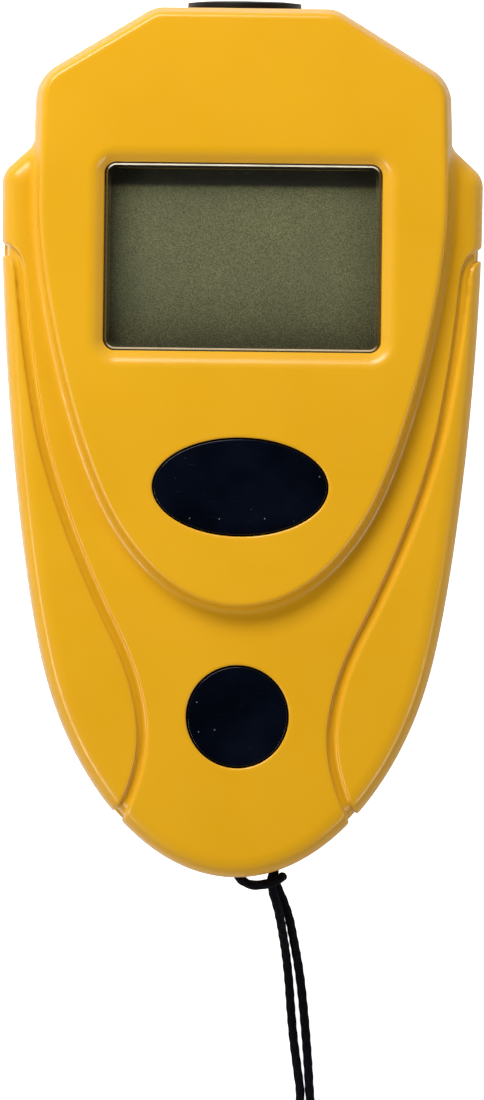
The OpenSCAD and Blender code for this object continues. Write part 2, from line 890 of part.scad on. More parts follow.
// A flat contact against an end wall of the bay, facing along way
module contact_plate(x, y, way) {
    block(x, y + way * plate_t / 2, plate_w, plate_t, plate_z, plate_z + plate_h);
}

module contact_bump(x, y, way) {
    translate([x, y + (way > 0 ? plate_t - slice : -plate_t + slice), cell_z])
        rotate([way > 0 ? -90 : 90, 0, 0]) cylinder(r1 = bump_r + 0.4, r2 = bump_r, h = plate_t + slice);
}

// A coil spring from one y to another, wider where it starts
module contact_spring(x, from, to) {
    rings = 12 * spring_turns;
    tube(
        [
            for (i = [0:rings])
                let (turn = 360 * spring_turns * i / rings, r = spring_r - spring_taper * i / rings)
                [x + r * cos(turn), from + (to - from) * i / rings, cell_z + r * sin(turn)]
        ],
        spring_wire, 6
    );
}

module contact_tab(x) {
    block(x, bay_high_y - plate_t / 2, tab_w, plate_t, plate_z + plate_h - slice, board_top);
}

module positive_contact() {
    color("#c3c6c9") {
        contact_plate(-cell_x, bay_high_y, -1);
        contact_bump(-cell_x, bay_high_y, -1);
        contact_tab(-cell_x);
    }
}

module negative_contact() {
    from = bay_high_y - plate_t - spring_wire / 2 + spring_bite;
    color("#c3c6c9") {
        contact_plate(cell_x, bay_high_y, -1);
        contact_spring(cell_x, from, right_tip + cell_l + spring_wire / 2);
        contact_tab(cell_x);
    }
}

module bridge_contact() {
    from = bay_low_y + plate_t + spring_wire / 2 - spring_bite;
    color("#c3c6c9") {
        block(0, bay_low_y + plate_t / 2, 2 * cell_x + plate_w, plate_t, plate_z, plate_z + plate_h);
        contact_bump(cell_x, bay_low_y, 1);
        contact_spring(-cell_x, from, left_tip - cell_l - spring_wire / 2);
    }
}

// ---------- lanyard ----------

module lanyard_cord() {
    color("#101014") tube(concat(cord_back, cord_out), cord_d, cord_sides);
}

module lanyard_hank() {
    outer = hank_r + cord_d / 2;
    color("#16161c") translate([hank_x, 0, tie_t]) linear_extrude(hank_layers * cord_d) union() {
        for (y = [hank_high_y, hank_low_y]) translate([0, y]) circle(r = outer);
        translate([-outer, hank_low_y]) square([2 * outer, hank_high_y - hank_low_y]);
    }
}

module lanyard_tie() {
    middle = (hank_high_y + hank_low_y) / 2;
    outer = hank_r + cord_d / 2;
    height = hank_layers * cord_d;
    color("#2a2a30") difference() {
        block(hank_x, middle, 2 * (outer + tie_t), tie_w, 0, height + 2 * tie_t);
        block(hank_x, middle, 2 * outer, tie_w + past, tie_t, height + tie_t);
    }
}

front_shell();
back_shell();
battery_door();
display_window();
window_gasket();
measure_button();
mode_button();
keypad_mat();
measure_dome();
mode_dome();
measure_plunger();
mode_plunger();
measure_pill();
mode_pill();
contact_pads();
case_screws();
board_screws();
nose_collar();
infrared_lens();
sensor_barrel();
thermopile_can();
thermopile_leads();
main_board();
lcd_cell();
lcd_polariser();
lcd_reflector();
lcd_holder();
zebra_strips();
controller_chip();
converter_chip();
crystal();
capacitors();
buzzer();
battery_left();
battery_right();
bridge_contact();
positive_contact();
negative_contact();
lanyard_cord();
lanyard_hank();
lanyard_tie();
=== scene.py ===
"""Looks for the pocket infrared thermometer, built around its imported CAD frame.

Lengths in this script are millimetres in the frame's own axes, and every mesh is scaled to metres as it is
made. The two shells are distance fields turned into meshes. The smaller pieces are lofts, turned profiles
and CAD nodes with softened edges. Every pattern comes from nodes.
"""

import math
import bpy
import numpy as np
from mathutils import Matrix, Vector


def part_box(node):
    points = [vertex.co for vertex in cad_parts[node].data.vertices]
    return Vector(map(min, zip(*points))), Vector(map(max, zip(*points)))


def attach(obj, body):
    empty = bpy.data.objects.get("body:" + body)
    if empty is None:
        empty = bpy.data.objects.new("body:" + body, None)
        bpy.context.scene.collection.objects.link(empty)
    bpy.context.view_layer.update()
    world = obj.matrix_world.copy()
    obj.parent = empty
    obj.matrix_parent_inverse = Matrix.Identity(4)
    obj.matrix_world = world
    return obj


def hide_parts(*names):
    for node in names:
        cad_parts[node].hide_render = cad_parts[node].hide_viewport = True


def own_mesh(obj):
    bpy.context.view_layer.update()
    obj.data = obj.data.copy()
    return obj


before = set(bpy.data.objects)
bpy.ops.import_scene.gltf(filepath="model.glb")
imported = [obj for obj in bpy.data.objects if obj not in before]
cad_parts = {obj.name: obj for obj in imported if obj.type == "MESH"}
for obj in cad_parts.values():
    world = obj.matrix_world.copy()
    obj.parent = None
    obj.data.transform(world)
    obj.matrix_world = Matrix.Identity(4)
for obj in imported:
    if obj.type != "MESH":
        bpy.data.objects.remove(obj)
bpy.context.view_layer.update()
MM = 0.001


def box_mm(node):
    """A CAD node's lowest and highest corners in millimetres."""
    low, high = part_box(node)
    return np.array(low) / MM, np.array(high) / MM


# ---------- camera, lights and floor ----------

VIEW_CENTRE = (0.4, -13.4)  # the point of the case below the middle of the picture
VIEW_ASIDE = 25.0  # how far to the picture's left of that point the camera hangs
VIEW_LEVEL = 16.0  # height at which the picture's scale holds
VIEW_HEIGHT = 133.5  # height of the picture at that level
VIEW_DISTANCE = 2400.0
VIEW_ROLL = math.radians(0.68)
SENSOR = 36.0
LIGHT_AIM = (0, -5, 10)
WORLD_SIDE = (0.42, 0.42, 0.42, 1)
WORLD_TOP = (0.01, 0.01, 0.01, 1)
FLOOR_HALF = 3000.0
FLOOR_LEVEL = -0.05


def add_camera():
    data = bpy.data.cameras.new("camera")
    data.sensor_fit = "VERTICAL"
    data.sensor_height = SENSOR
    data.lens = SENSOR * VIEW_DISTANCE / VIEW_HEIGHT
    data.clip_start = 0.01
    data.clip_end = 10
    camera = bpy.data.objects.new("camera", data)
    aside = Vector((math.cos(VIEW_ROLL), math.sin(VIEW_ROLL), 0)) * VIEW_ASIDE
    camera.location = (Vector((*VIEW_CENTRE, VIEW_LEVEL + VIEW_DISTANCE)) - aside) * MM
    camera.rotation_euler = (0, -math.atan(VIEW_ASIDE / VIEW_DISTANCE), VIEW_ROLL)
    bpy.context.scene.collection.objects.link(camera)
    bpy.context.scene.camera = camera


def add_light(name, place, size, watts):
    """A soft rectangular light that faces the case."""
    data = bpy.data.lights.new(name, "AREA")
    data.shape = "RECTANGLE"
    data.size, data.size_y = size[0] * MM, size[1] * MM
    data.energy = watts
    light = bpy.data.objects.new(name, data)
    light.location = Vector(place) * MM
    light.rotation_euler = (Vector(LIGHT_AIM) - Vector(place)).to_track_quat("-Z", "Y").to_euler()
    bpy.context.scene.collection.objects.link(light)


def add_world():
    """Soft light from all round, which fades to dark straight overhead."""
    world = bpy.data.worlds.new("studio")
    world.use_nodes = True
    tree = world.node_tree
    way = tree.nodes.new("ShaderNodeTexCoord")
    parts = tree.nodes.new("ShaderNodeSeparateXYZ")
    ramp = tree.nodes.new("ShaderNodeValToRGB")
    tree.links.new(way.outputs["Generated"], parts.inputs[0])
    tree.links.new(parts.outputs["Z"], ramp.inputs["Fac"])
    tree.links.new(ramp.outputs["Color"], tree.nodes["Background"].inputs["Color"])
    side, top = ramp.color_ramp.elements
    side.position, top.position = 0.5, 0.88
    side.color, top.color = WORLD_SIDE, WORLD_TOP
    bpy.context.scene.world = world


def add_stage():
    add_world()
    bpy.context.scene.view_settings.view_transform = "Standard"
    add_light("key", (-120, 260, 270), (260, 150), 1.36)
    add_light("left_strip", (-380, -190, 300), (300, 22), 0.85)
    add_light("right_strip", (380, -230, 300), (280, 22), 0.48)
    half = FLOOR_HALF * MM
    corners = [(-half, -half, 0), (half, -half, 0), (half, half, 0), (-half, half, 0)]
    mesh = bpy.data.meshes.new("floor")
    mesh.from_pydata(corners, [], [(0, 1, 2, 3)])
    floor = bpy.data.objects.new("floor", mesh)
    floor.location.z = FLOOR_LEVEL * MM
    bpy.context.scene.collection.objects.link(floor)
    floor.data.materials.append(floor_material())


# ---------- node helpers ----------

class Shader:
    """A new material with a Principled shader, and short ways to add and join nodes."""

    def __init__(self, name, **sockets):
        self.material = bpy.data.materials.new(name)
        self.material.use_nodes = True
        self.tree = self.material.node_tree
        self.principled = self.tree.nodes["Principled BSDF"]
        self.output = self.tree.nodes["Material Output"]
        for socket, value in sockets.items():
            self.principled.inputs[socket.replace("_", " ")].default_value = value

    def add(self, kind, **settings):
        """A node of this kind. A setting names a property or an input, and i0, i1 count the inputs."""
        node = self.tree.nodes.new("ShaderNode" + kind)
        for name, value in settings.items():
            if hasattr(node, name):
                setattr(node, name, value)
                continue
            counted = name[0] == "i" and name[1:].isdigit()
            self.feed(value, node.inputs[int(name[1:])] if counted else node.inputs[name])
        return node

    def feed(self, value, socket):
        """Link a node's output to a socket, or set a plain value on it."""
        if isinstance(value, bpy.types.NodeSocket):
            self.tree.links.new(value, socket)
        else:
            socket.default_value = value

    def link(self, value, socket):
        self.tree.links.new(value, self.principled.inputs[socket])

    def place(self):
        return self.add("TexCoord").outputs["Object"]

    def noise(self, size_mm, detail=2.0, vector=None, roughness=0.5):
        """Noise whose grains are about this many millimetres across."""
        return self.add("TexNoise", Vector=vector or self.place(), Scale=1 / (size_mm * MM),
                        Detail=detail, Roughness=roughness).outputs["Fac"]

    def ramp(self, value, *stops):
        """A colour ramp over (position, colour) stops; a colour may be one grey level."""
        node = self.add("ValToRGB", Fac=value)
        elements = node.color_ramp.elements
        while len(elements) < len(stops):
            elements.new(0.5)
        for element, (position, colour) in zip(elements, stops):
            element.position = position
            element.color = (*colour, 1) if hasattr(colour, "__len__") else (colour, colour, colour, 1)
        return node.outputs["Color"]

    def mix(self, share, a, b):
        """a where share is 0 and b where it is 1."""
        node = self.tree.nodes.new("ShaderNodeMix")
        node.data_type = "RGBA"
        for socket, value in (("Factor", share), ("A", a), ("B", b)):
            target = [s for s in node.inputs if s.name == socket and s.enabled][0]
            self.feed((*value, 1) if isinstance(value, tuple) else value, target)
        return [s for s in node.outputs if s.enabled][0]

    def bump(self, height, depth_mm, normal=None):
        node = self.add("Bump", Height=height, Distance=depth_mm * MM, Strength=1.0)
        if normal is not None:
            self.tree.links.new(normal, node.inputs["Normal"])
        return node.outputs["Normal"]

    def map_range(self, value, low, high, new_low, new_high):
        limits = {"From Min": low, "From Max": high, "To Min": new_low, "To Max": new_high}
        return self.add("MapRange", Value=value, **limits).outputs["Result"]

    def math(self, operation, a, b=0.0):
        return self.add("Math", operation=operation, i0=a, i1=b).outputs[0]


# ---------- materials ----------

def floor_material():
    """A white sweep: evenly white to look at, a soft light on the case, and clear from below."""
    s = Shader("white_floor", Roughness=0.9)
    s.principled.inputs["Base Color"].default_value = (0.8, 0.8, 0.8, 1)
    seen = s.map_range(s.add("LightPath").outputs["Is Camera Ray"], 0, 1, 0.05, 1.0)
    glow = s.add("Emission", Color=(1, 1, 1, 1), Strength=seen)
    white = s.add("AddShader", i0=s.principled.outputs[0], i1=glow.outputs[0])
    clear = s.add("BsdfTransparent")
    side = s.add("NewGeometry").outputs["Backfacing"]
    both = s.add("MixShader", i0=side, i1=white.outputs[0], i2=clear.outputs[0])
    s.tree.links.new(both.outputs[0], s.output.inputs["Surface"])
    return s.material


def moulded_plastic(name, pale, deep, rough=0.4, grain=0.004, speck=0.5, shine=0.6):
    """Satin moulded plastic: broad colour drift, pale dust, faint rubs and a grained skin."""
    s = Shader(name, Specular_IOR_Level=0.2, Coat_Weight=shine, Coat_Roughness=0.2)
    drift = s.mix(s.ramp(s.noise(22, 3), (0.35, 0.0), (0.65, 1.0)), pale, deep)
    dust_cells = s.add("TexVoronoi", Vector=s.place(), Scale=1 / (1.3 * MM), Randomness=1.0)
    dust = s.ramp(dust_cells.outputs["Distance"], (0.0, speck), (0.055, 0.0))
    paler = tuple(min(1.0, c * 1.15 + 0.12) for c in pale)
    s.link(s.mix(dust, drift, paler), "Base Color")
    rub = s.noise(3.5, 4)
    s.link(s.map_range(rub, 0.3, 0.7, rough - 0.04, rough + 0.06), "Roughness")
    s.link(s.bump(s.noise(1.1, 3), grain, s.bump(s.noise(0.13, 2), grain)), "Normal")
    s.link(s.bump(s.noise(0.24, 1), 5 * grain), "Coat Normal")
    return s.material


def specks(s, spacing_mm, size_mm, few):
    """Small round specks of dust over the surface, in a share of the cells of a loose grid."""
    cells = s.add("TexVoronoi", voronoi_dimensions="2D", Vector=s.place(),
                  Scale=1 / (spacing_mm * MM), Randomness=1.0)
    size = size_mm / spacing_mm
    near = s.ramp(cells.outputs["Distance"], (0.35 * size, 1.0), (0.6 * size, 0.0))
    return s.math("MULTIPLY", near, s.ramp(cells.outputs["Color"], (1 - few, 0.0), (1.02 - few, 1.0)))


def gloss_plastic(name, colour):
    """Polished black plastic with dust, hairline scratches, a slight ripple and broad patches of painted
    reflection.
    """
    s = Shader(name, Specular_IOR_Level=0.3)
    stretched = s.add("Mapping", Vector=s.place(), Rotation=(0, 0, 0.5), Scale=(1, 9, 1)).outputs["Vector"]
    hair = s.math("MULTIPLY", s.ramp(s.noise(2.2, 5, stretched, 0.7), (0.66, 0.0), (0.69, 1.0)), 0.035)
    # Painted reflection: broad patches up to 2.2 times paler than the base colour, standing in for a soft
    # reflection.
    paler = tuple(c * 2.2 + 0.0004 for c in colour)
    drift = s.mix(s.ramp(s.noise(7, 2), (0.4, 0.0), (0.7, 1.0)), colour, paler)
    scratched = s.mix(hair, drift, (0.2, 0.2, 0.22))
    dusty = s.mix(specks(s, 2.1, 0.13, 0.2), scratched, (0.05, 0.055, 0.07))
    s.link(s.mix(specks(s, 4.4, 0.17, 0.3), dusty, (0.15, 0.16, 0.18)), "Base Color")
    s.link(s.map_range(s.noise(4, 4), 0.3, 0.7, 0.12, 0.2), "Roughness")
    s.link(s.bump(s.noise(2.6, 2), 0.006), "Normal")
    return s.material


def soft_rubber(name, colour, rough=0.75):
    """Matt silicone, rubber, film or epoxy with a fine pore."""
    s = Shader(name, Specular_IOR_Level=0.3)
    paler = tuple(c * 1.6 + 0.01 for c in colour)
    s.link(s.mix(s.ramp(s.noise(0.8, 4), (0.4, 0.0), (0.75, 1.0)), colour, paler), "Base Color")
    s.link(s.map_range(s.noise(1.5, 3), 0.3, 0.7, rough - 0.08, rough + 0.08), "Roughness")
    s.link(s.bump(s.noise(0.12, 3), 0.01), "Normal")
    return s.material


def metal(name, colour, rough=0.25):
    """Plated metal with drawn lines and a little tarnish."""
    s = Shader(name, Metallic=1.0)
    lines = s.add("Mapping", Vector=s.place(), Scale=(1, 14, 1)).outputs["Vector"]
    tarnish = tuple(c * 0.72 for c in colour)
    s.link(s.mix(s.ramp(s.noise(1.8, 4), (0.45, 0.0), (0.8, 1.0)), colour, tarnish), "Base Color")
    s.link(s.map_range(s.noise(0.6, 3, lines), 0.3, 0.7, rough - 0.07, rough + 0.12), "Roughness")
    s.link(s.bump(s.noise(0.3, 3, lines), 0.003), "Normal")
    return s.material


def window_material():
    """Clear acrylic: what is behind shows through, under a soft reflection and a few fine scratches."""
    s = Shader("clear_acrylic")
    clear = s.add("BsdfTransparent", Color=(0.93, 0.95, 0.93, 1))
    shine = s.add("BsdfGlossy", Color=(1, 1, 1, 1), Roughness=0.06)
    turned_place = s.add("Mapping", Vector=s.place(), Rotation=(0, 0, -0.7), Scale=(1, 12, 1))
    stretched = turned_place.outputs["Vector"]
    scratches = s.ramp(s.noise(2.4, 5, stretched, 0.7), (0.66, 0.0), (0.7, 1.0))
    s.tree.links.new(s.bump(scratches, 0.002), shine.inputs["Normal"])
    front = s.math("SUBTRACT", 1.0, s.add("NewGeometry").outputs["Backfacing"])
    share = s.math("MULTIPLY", s.add("Fresnel", IOR=1.47).outputs[0], front)
    seen = s.add("MixShader", i0=share, i1=clear.outputs[0], i2=shine.outputs[0])
    s.tree.links.new(seen.outputs[0], s.output.inputs["Surface"])
    s.tree.nodes.remove(s.principled)
    return s.material


def window_edge_material():
    """The cut bevel of the acrylic: a pale painted highlight along the two long edges, and dark brown
    painted shade along the short ones.
    """
    s = Shader("acrylic_edge", Specular_IOR_Level=0.6)
    facing = s.add("SeparateXYZ", Vector=s.add("NewGeometry").outputs["True Normal"]).outputs["Y"]
    # Painted highlight where the bevel faces along y, patchy along its length; painted dark brown shade
    # elsewhere.
    painted_highlight = s.map_range(s.math("ABSOLUTE", facing), 0.35, 0.6, 0.0, 1.0)
    painted_highlight = s.math("MULTIPLY", painted_highlight, s.ramp(s.noise(4, 3), (0.3, 0.75), (0.6, 1.0)))
    s.link(s.mix(painted_highlight, (0.10, 0.06, 0.02), (0.78, 0.78, 0.66)), "Base Color")
    s.link(s.map_range(s.noise(1.0, 3), 0.3, 0.7, 0.16, 0.26), "Roughness")
    s.link(s.bump(s.noise(0.2, 2), 0.002), "Normal")
    return s.material


SHADOW_BAND_W = 2.9  # width of the painted shadow band along the display's top


def lcd_material(name, light):
    """A blank display: grey-green with a fine sparkle, painted shade towards its bottom and sides, an
    overall painted level set by light, and a painted shadow band along its top.
    """
    low, high = box_mm("window_gasket")
    shadow_band_start = (high[1] - SHADOW_BAND_W) * MM
    s = Shader(name, Specular_IOR_Level=0.25)
    grain = s.noise(0.14, 2, None, 0.75)
    base = s.ramp(grain, (0.34, (0.07, 0.066, 0.032)), (0.66, (0.30, 0.275, 0.15)))
    drift = s.mix(s.ramp(s.noise(9, 3), (0.35, 0.0), (0.7, 0.4)), base, (0.11, 0.112, 0.07))
    parts = s.add("SeparateXYZ", Vector=s.place())
    height = parts.outputs["Y"]
    # Painted shade: darker towards the bottom and the sides, times light, which below 1 makes a shaded
    # copy.
    bottom = s.map_range(height, low[1] * MM, (low[1] + 9) * MM, 0.5, 1.0)
    across = s.math("ABSOLUTE", parts.outputs["X"])
    side = s.map_range(across, (high[0] - 4) * MM, high[0] * MM, 1.0, 0.72)
    level = s.math("MULTIPLY", s.math("MULTIPLY", bottom, side), light)
    shaded = s.mix(level, (0.0, 0.0, 0.0), drift)
    # Painted shadow band along the top, with a ragged edge and a little pale dust in it.
    ragged = s.math("ADD", height, s.math("MULTIPLY", s.noise(0.9, 4), 0.3 * MM))
    painted_shadow_band = s.map_range(ragged, shadow_band_start, shadow_band_start + 0.5 * MM, 0.0, 1.0)
    dust = s.ramp(s.noise(1.0, 5, None, 0.7), (0.55, 0.0), (0.7, 0.4))
    dark = s.mix(dust, (0.036, 0.033, 0.024), (0.08, 0.085, 0.08))
    s.link(s.mix(painted_shadow_band, shaded, dark), "Base Color")
    s.link(s.map_range(s.noise(0.2, 2), 0.3, 0.7, 0.42, 0.6), "Roughness")
    s.link(s.bump(s.noise(0.14, 2), 0.004), "Normal")
    return s.material


def braid_material(colour):
    """Braided cord from its own UVs, u along the cord in millimetres and v round it from 0 to 1."""
    s = Shader("braided_nylon", Roughness=0.75, Specular_IOR_Level=0.08,
               Sheen_Weight=0.02, Sheen_Roughness=0.4)
    uv = s.add("UVMap", uv_map="cord").outputs["UV"]
    parts = s.add("SeparateXYZ", Vector=uv)
    along = s.math("MULTIPLY", parts.outputs["X"], 2 * math.pi / BRAID_PITCH)
    around = s.math("MULTIPLY", parts.outputs["Y"], math.pi * BRAID_STRANDS)
    one = s.math("SINE", s.math("ADD", along, around))
    other = s.math("SINE", s.math("SUBTRACT", along, around))
    weave = s.math("MAXIMUM", one, other)
    fibre = s.noise(0.07, 3)
    paler = tuple(c * 2.2 + 0.001 for c in colour)
    s.link(s.mix(s.ramp(weave, (0.1, 0.0), (0.95, 0.6)), colour, paler), "Base Color")
    s.link(s.bump(weave, 0.045, s.bump(fibre, 0.02)), "Normal")
    return s.material


def strap_material():
    """A narrow woven strap with a fuzzy face."""
    s = Shader("woven_strap", Roughness=0.85, Specular_IOR_Level=0.1, Sheen_Weight=0.05)
    weave = s.add("TexWave", Vector=s.place(), Scale=1 / (1.1 * MM), Distortion=1.5, Detail=2.0)
    s.link(s.mix(weave.outputs["Fac"], (0.016, 0.016, 0.019), (0.05, 0.05, 0.056)), "Base Color")
    s.link(s.bump(weave.outputs["Fac"], 0.05, s.bump(s.noise(0.1, 3), 0.03)), "Normal")
    return s.material


def board_material():
    """Green solder mask over copper tracks, with bare gold pads."""
    s = Shader("circuit_board", Roughness=0.35)
    tracks = s.add("TexBrick", Vector=s.place(), Scale=1 / (9 * MM), Color1=(0.012, 0.10, 0.03, 1),
                   Color2=(0.016, 0.12, 0.04, 1), Mortar=(0.03, 0.20, 0.07, 1))
    tracks.inputs["Mortar Size"].default_value = 0.03
    pads = s.add("TexVoronoi", Vector=s.place(), Scale=1 / (3.1 * MM), Randomness=0.7)
    bare = s.ramp(pads.outputs["Distance"], (0.10, 1.0), (0.13, 0.0))
    s.link(s.mix(bare, tracks.outputs["Color"], (0.62, 0.42, 0.14)), "Base Color")
    s.link(s.bump(tracks.outputs["Fac"], 0.02, s.bump(s.noise(0.3, 2), 0.004)), "Normal")
    return s.material


def cell_material():
    """A plain battery sleeve: blue film, paler where it has rubbed."""
    s = Shader("battery_sleeve", Roughness=0.28)
    film = s.mix(s.noise(5, 3), (0.012, 0.05, 0.20), (0.02, 0.075, 0.27))
    s.link(s.mix(s.ramp(s.noise(0.9, 4), (0.6, 0.0), (0.8, 0.25)), film, (0.25, 0.3, 0.4)), "Base Color")
    s.link(s.bump(s.noise(1.2, 3), 0.01), "Normal")
    return s.material


# ---------- meshes from points ----------

def points_of(piece):
    """An object's own mesh points in millimetres."""
    return np.array([v.co for v in piece.data.vertices]) / MM


def circle(count):
    """Points of a unit circle."""
    turns = np.arange(count) * 2 * math.pi / count
    return np.stack([np.cos(turns), np.sin(turns)], axis=1)


def level_ring(outline, z):
    """A flat outline's points at one height."""
    return np.column_stack([outline, np.full(len(outline), z)])


def new_piece(name, points, faces):
    """A mesh object from points in millimetres."""
    mesh = bpy.data.meshes.new(name)
    mesh.from_pydata((np.asarray(points, float) * MM).tolist(), [], [tuple(map(int, f)) for f in faces])
    mesh.validate()
    mesh.shade_smooth()
    piece = bpy.data.objects.new(name, mesh)
    bpy.context.scene.collection.objects.link(piece)
    return piece


def loft(name, rings, closed_ends=True):
    """A skin over rings that have the same number of points, with a point in the middle of each end."""
    rings = [np.asarray(r, float) for r in rings]
    n = len(rings[0])
    points = np.vstack(rings)
    faces = []
    for i in range(len(rings) - 1):
        a, b = i * n, (i + 1) * n
        faces += [(a + k, a + (k + 1) % n, b + (k + 1) % n, b + k) for k in range(n)]
    if closed_ends:
        last = (len(rings) - 1) * n
        points = np.vstack([points, rings[0].mean(0), rings[-1].mean(0)])
        faces += [(len(points) - 2, (k + 1) % n, k) for k in range(n)]
        faces += [(len(points) - 1, last + k, last + (k + 1) % n) for k in range(n)]
    return new_piece(name, points, faces)


def turned(name, profile, centre, sides):
    """A closed profile of (radius, y) points, turned round the line along y through centre."""
    spokes = circle(sides) @ np.array([(1.0, 0, 0), (0, 0, -1.0)])
    rings = [np.asarray(centre) + spokes * r + (0, y, 0) for r, y in profile]
    return loft(name, rings + [rings[0]], closed_ends=False)


def rounded_profile(corners, steps=6):
    """A closed profile whose (radius, place, rounding) corners are replaced by arcs."""
    out = []
    for i, (x, y, r) in enumerate(corners):
        here = np.array([x, y], float)
        before = np.array(corners[i - 1][:2], float) - here
        after = np.array(corners[(i + 1) % len(corners)][:2], float) - here
        a, b = before / np.linalg.norm(before), after / np.linalg.norm(after)
        if r <= 0:
            out.append(here)
            continue
        half = math.acos(np.clip(a @ b, -1, 1)) / 2
        centre = here + (a + b) / np.linalg.norm(a + b) * r / math.sin(half)
        start, end = here + a * r / math.tan(half) - centre, here + b * r / math.tan(half) - centre
        for k in range(steps + 1):
            spoke = start * (steps - k) + end * k
            out.append(centre + spoke / np.linalg.norm(spoke) * r)
    return np.array(out)


def soften(node, width):
    """Round the edges of a CAD node with a bevel modifier."""
    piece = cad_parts[node]
    piece.data.shade_smooth()
    bevel = piece.modifiers.new("edges", "BEVEL")
    bevel.width = width * MM
    bevel.segments = 3
    bevel.limit_method = "ANGLE"
    bevel.angle_limit = math.radians(35)
    bevel.use_clamp_overlap = True
    normals = piece.modifiers.new("normals", "WEIGHTED_NORMAL")
    normals.keep_sharp = True
    return piece


# ---------- distance fields ----------

def outline_at(node, level):
    """The convex outline of a CAD node's points at one height, as points in order."""
    co = points_of(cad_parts[node])
    flat = np.unique(np.round(co[np.abs(co[:, 2] - level) < 0.01][:, :2], 3), axis=0)
    chain = []
    for points in (flat, flat[::-1]):
        side = []
        for p in points:
            while len(side) > 1 and np.cross(side[-1] - side[-2], p - side[-2]) <= 1e-9:
                side.pop()
            side.append(p)
        chain += side[:-1]
    return np.array(chain)


def smooth_loop(points, parts=4):
    """A closed curve through the points that keeps its long sides straight and its corners sharp."""
    side = np.roll(points, -1, axis=0) - points
    length = np.linalg.norm(side, axis=1, keepdims=True)
    way = side / length
    last_way, last_length = np.roll(way, 1, axis=0), np.roll(length, 1, axis=0)
    tangent = last_way * length + way * last_length
    tangent = np.where(last_length > 3 * length, last_way, np.where(length > 3 * last_length, way, tangent))
    tangent /= np.linalg.norm(tangent, axis=1, keepdims=True)
    sharp = (way * last_way).sum(1, keepdims=True) < math.cos(math.radians(25))
    start = np.where(sharp, way, tangent) * length
    end = np.where(np.roll(sharp, -1, axis=0), way, np.roll(tangent, -1, axis=0)) * length
    out = []
    for t in np.arange(parts) / parts:
        out.append((2 * t**3 - 3 * t**2 + 1) * points + (t**3 - 2 * t**2 + t) * start
                   + (3 * t**2 - 2 * t**3) * (points + side) + (t**3 - t**2) * end)
    return np.stack(out, axis=1).reshape(-1, 2)


def smooth_line(points, step):
    """A curve through the points, as points about step apart."""
    points = np.asarray(points, float)
    padded = np.vstack([2 * points[0] - points[1], points, 2 * points[-1] - points[-2]])
    out = []
    for i in range(len(points) - 1):
        p0, p1, p2, p3 = padded[i:i + 4]
        count = max(1, round(float(np.linalg.norm(p2 - p1)) / step))
        for t in np.arange(count) / count:
            out.append(0.5 * (2 * p1 + (p2 - p0) * t + (2 * p0 - 5 * p1 + 4 * p2 - p3) * t**2
                              + (3 * p1 - 3 * p2 + p3 - p0) * t**3))
    return np.array(out + [points[-1]])


def line_distance(x, y, points, closed):
    """Distance to a line of points; for a closed one, negative inside."""
    ends = np.roll(points, -1, axis=0) if closed else points[1:]
    best = np.full(x.shape, 1e9)
    inside = np.zeros(x.shape, bool)
    for a, b in zip(points, ends):
        along = b - a
        t = np.clip(((x - a[0]) * along[0] + (y - a[1]) * along[1]) / max(along @ along, 1e-12), 0, 1)
        best = np.minimum(best, (x - a[0] - t * along[0])**2 + (y - a[1] - t * along[1])**2)
        if closed and a[1] != b[1]:
            crossing = (a[1] > y) != (b[1] > y)
            inside ^= crossing & (x < a[0] + (y - a[1]) * along[0] / along[1])
    best = np.sqrt(best)
    return np.where(inside, -best, best) if closed else best


def box_distance(x, y, low, high, r=0.0):
    """Distance to a rectangle with round corners, negative inside."""
    qx = np.abs(x - (low[0] + high[0]) / 2) - (high[0] - low[0]) / 2 + r
    qy = np.abs(y - (low[1] + high[1]) / 2) - (high[1] - low[1]) / 2 + r
    return np.hypot(np.maximum(qx, 0), np.maximum(qy, 0)) + np.minimum(np.maximum(qx, qy), 0) - r


def join(a, b, r=0.0):
    """Union of two fields, with a fillet of about radius r in the corner between them."""
    if np.max(r) <= 0:
        return np.minimum(a, b)
    ua, ub = np.maximum(r - a, 0), np.maximum(r - b, 0)
    return np.maximum(r, np.minimum(a, b)) - np.hypot(ua, ub)


def cut(a, b, r=0.0):
    """Field a less field b, with the new edge rounded to about radius r."""
    return -join(-a, b, r)


def overlap(a, b, r=0.0):
    """Where both fields are, with the edge between them rounded to about radius r."""
    return -join(-a, -b, r)


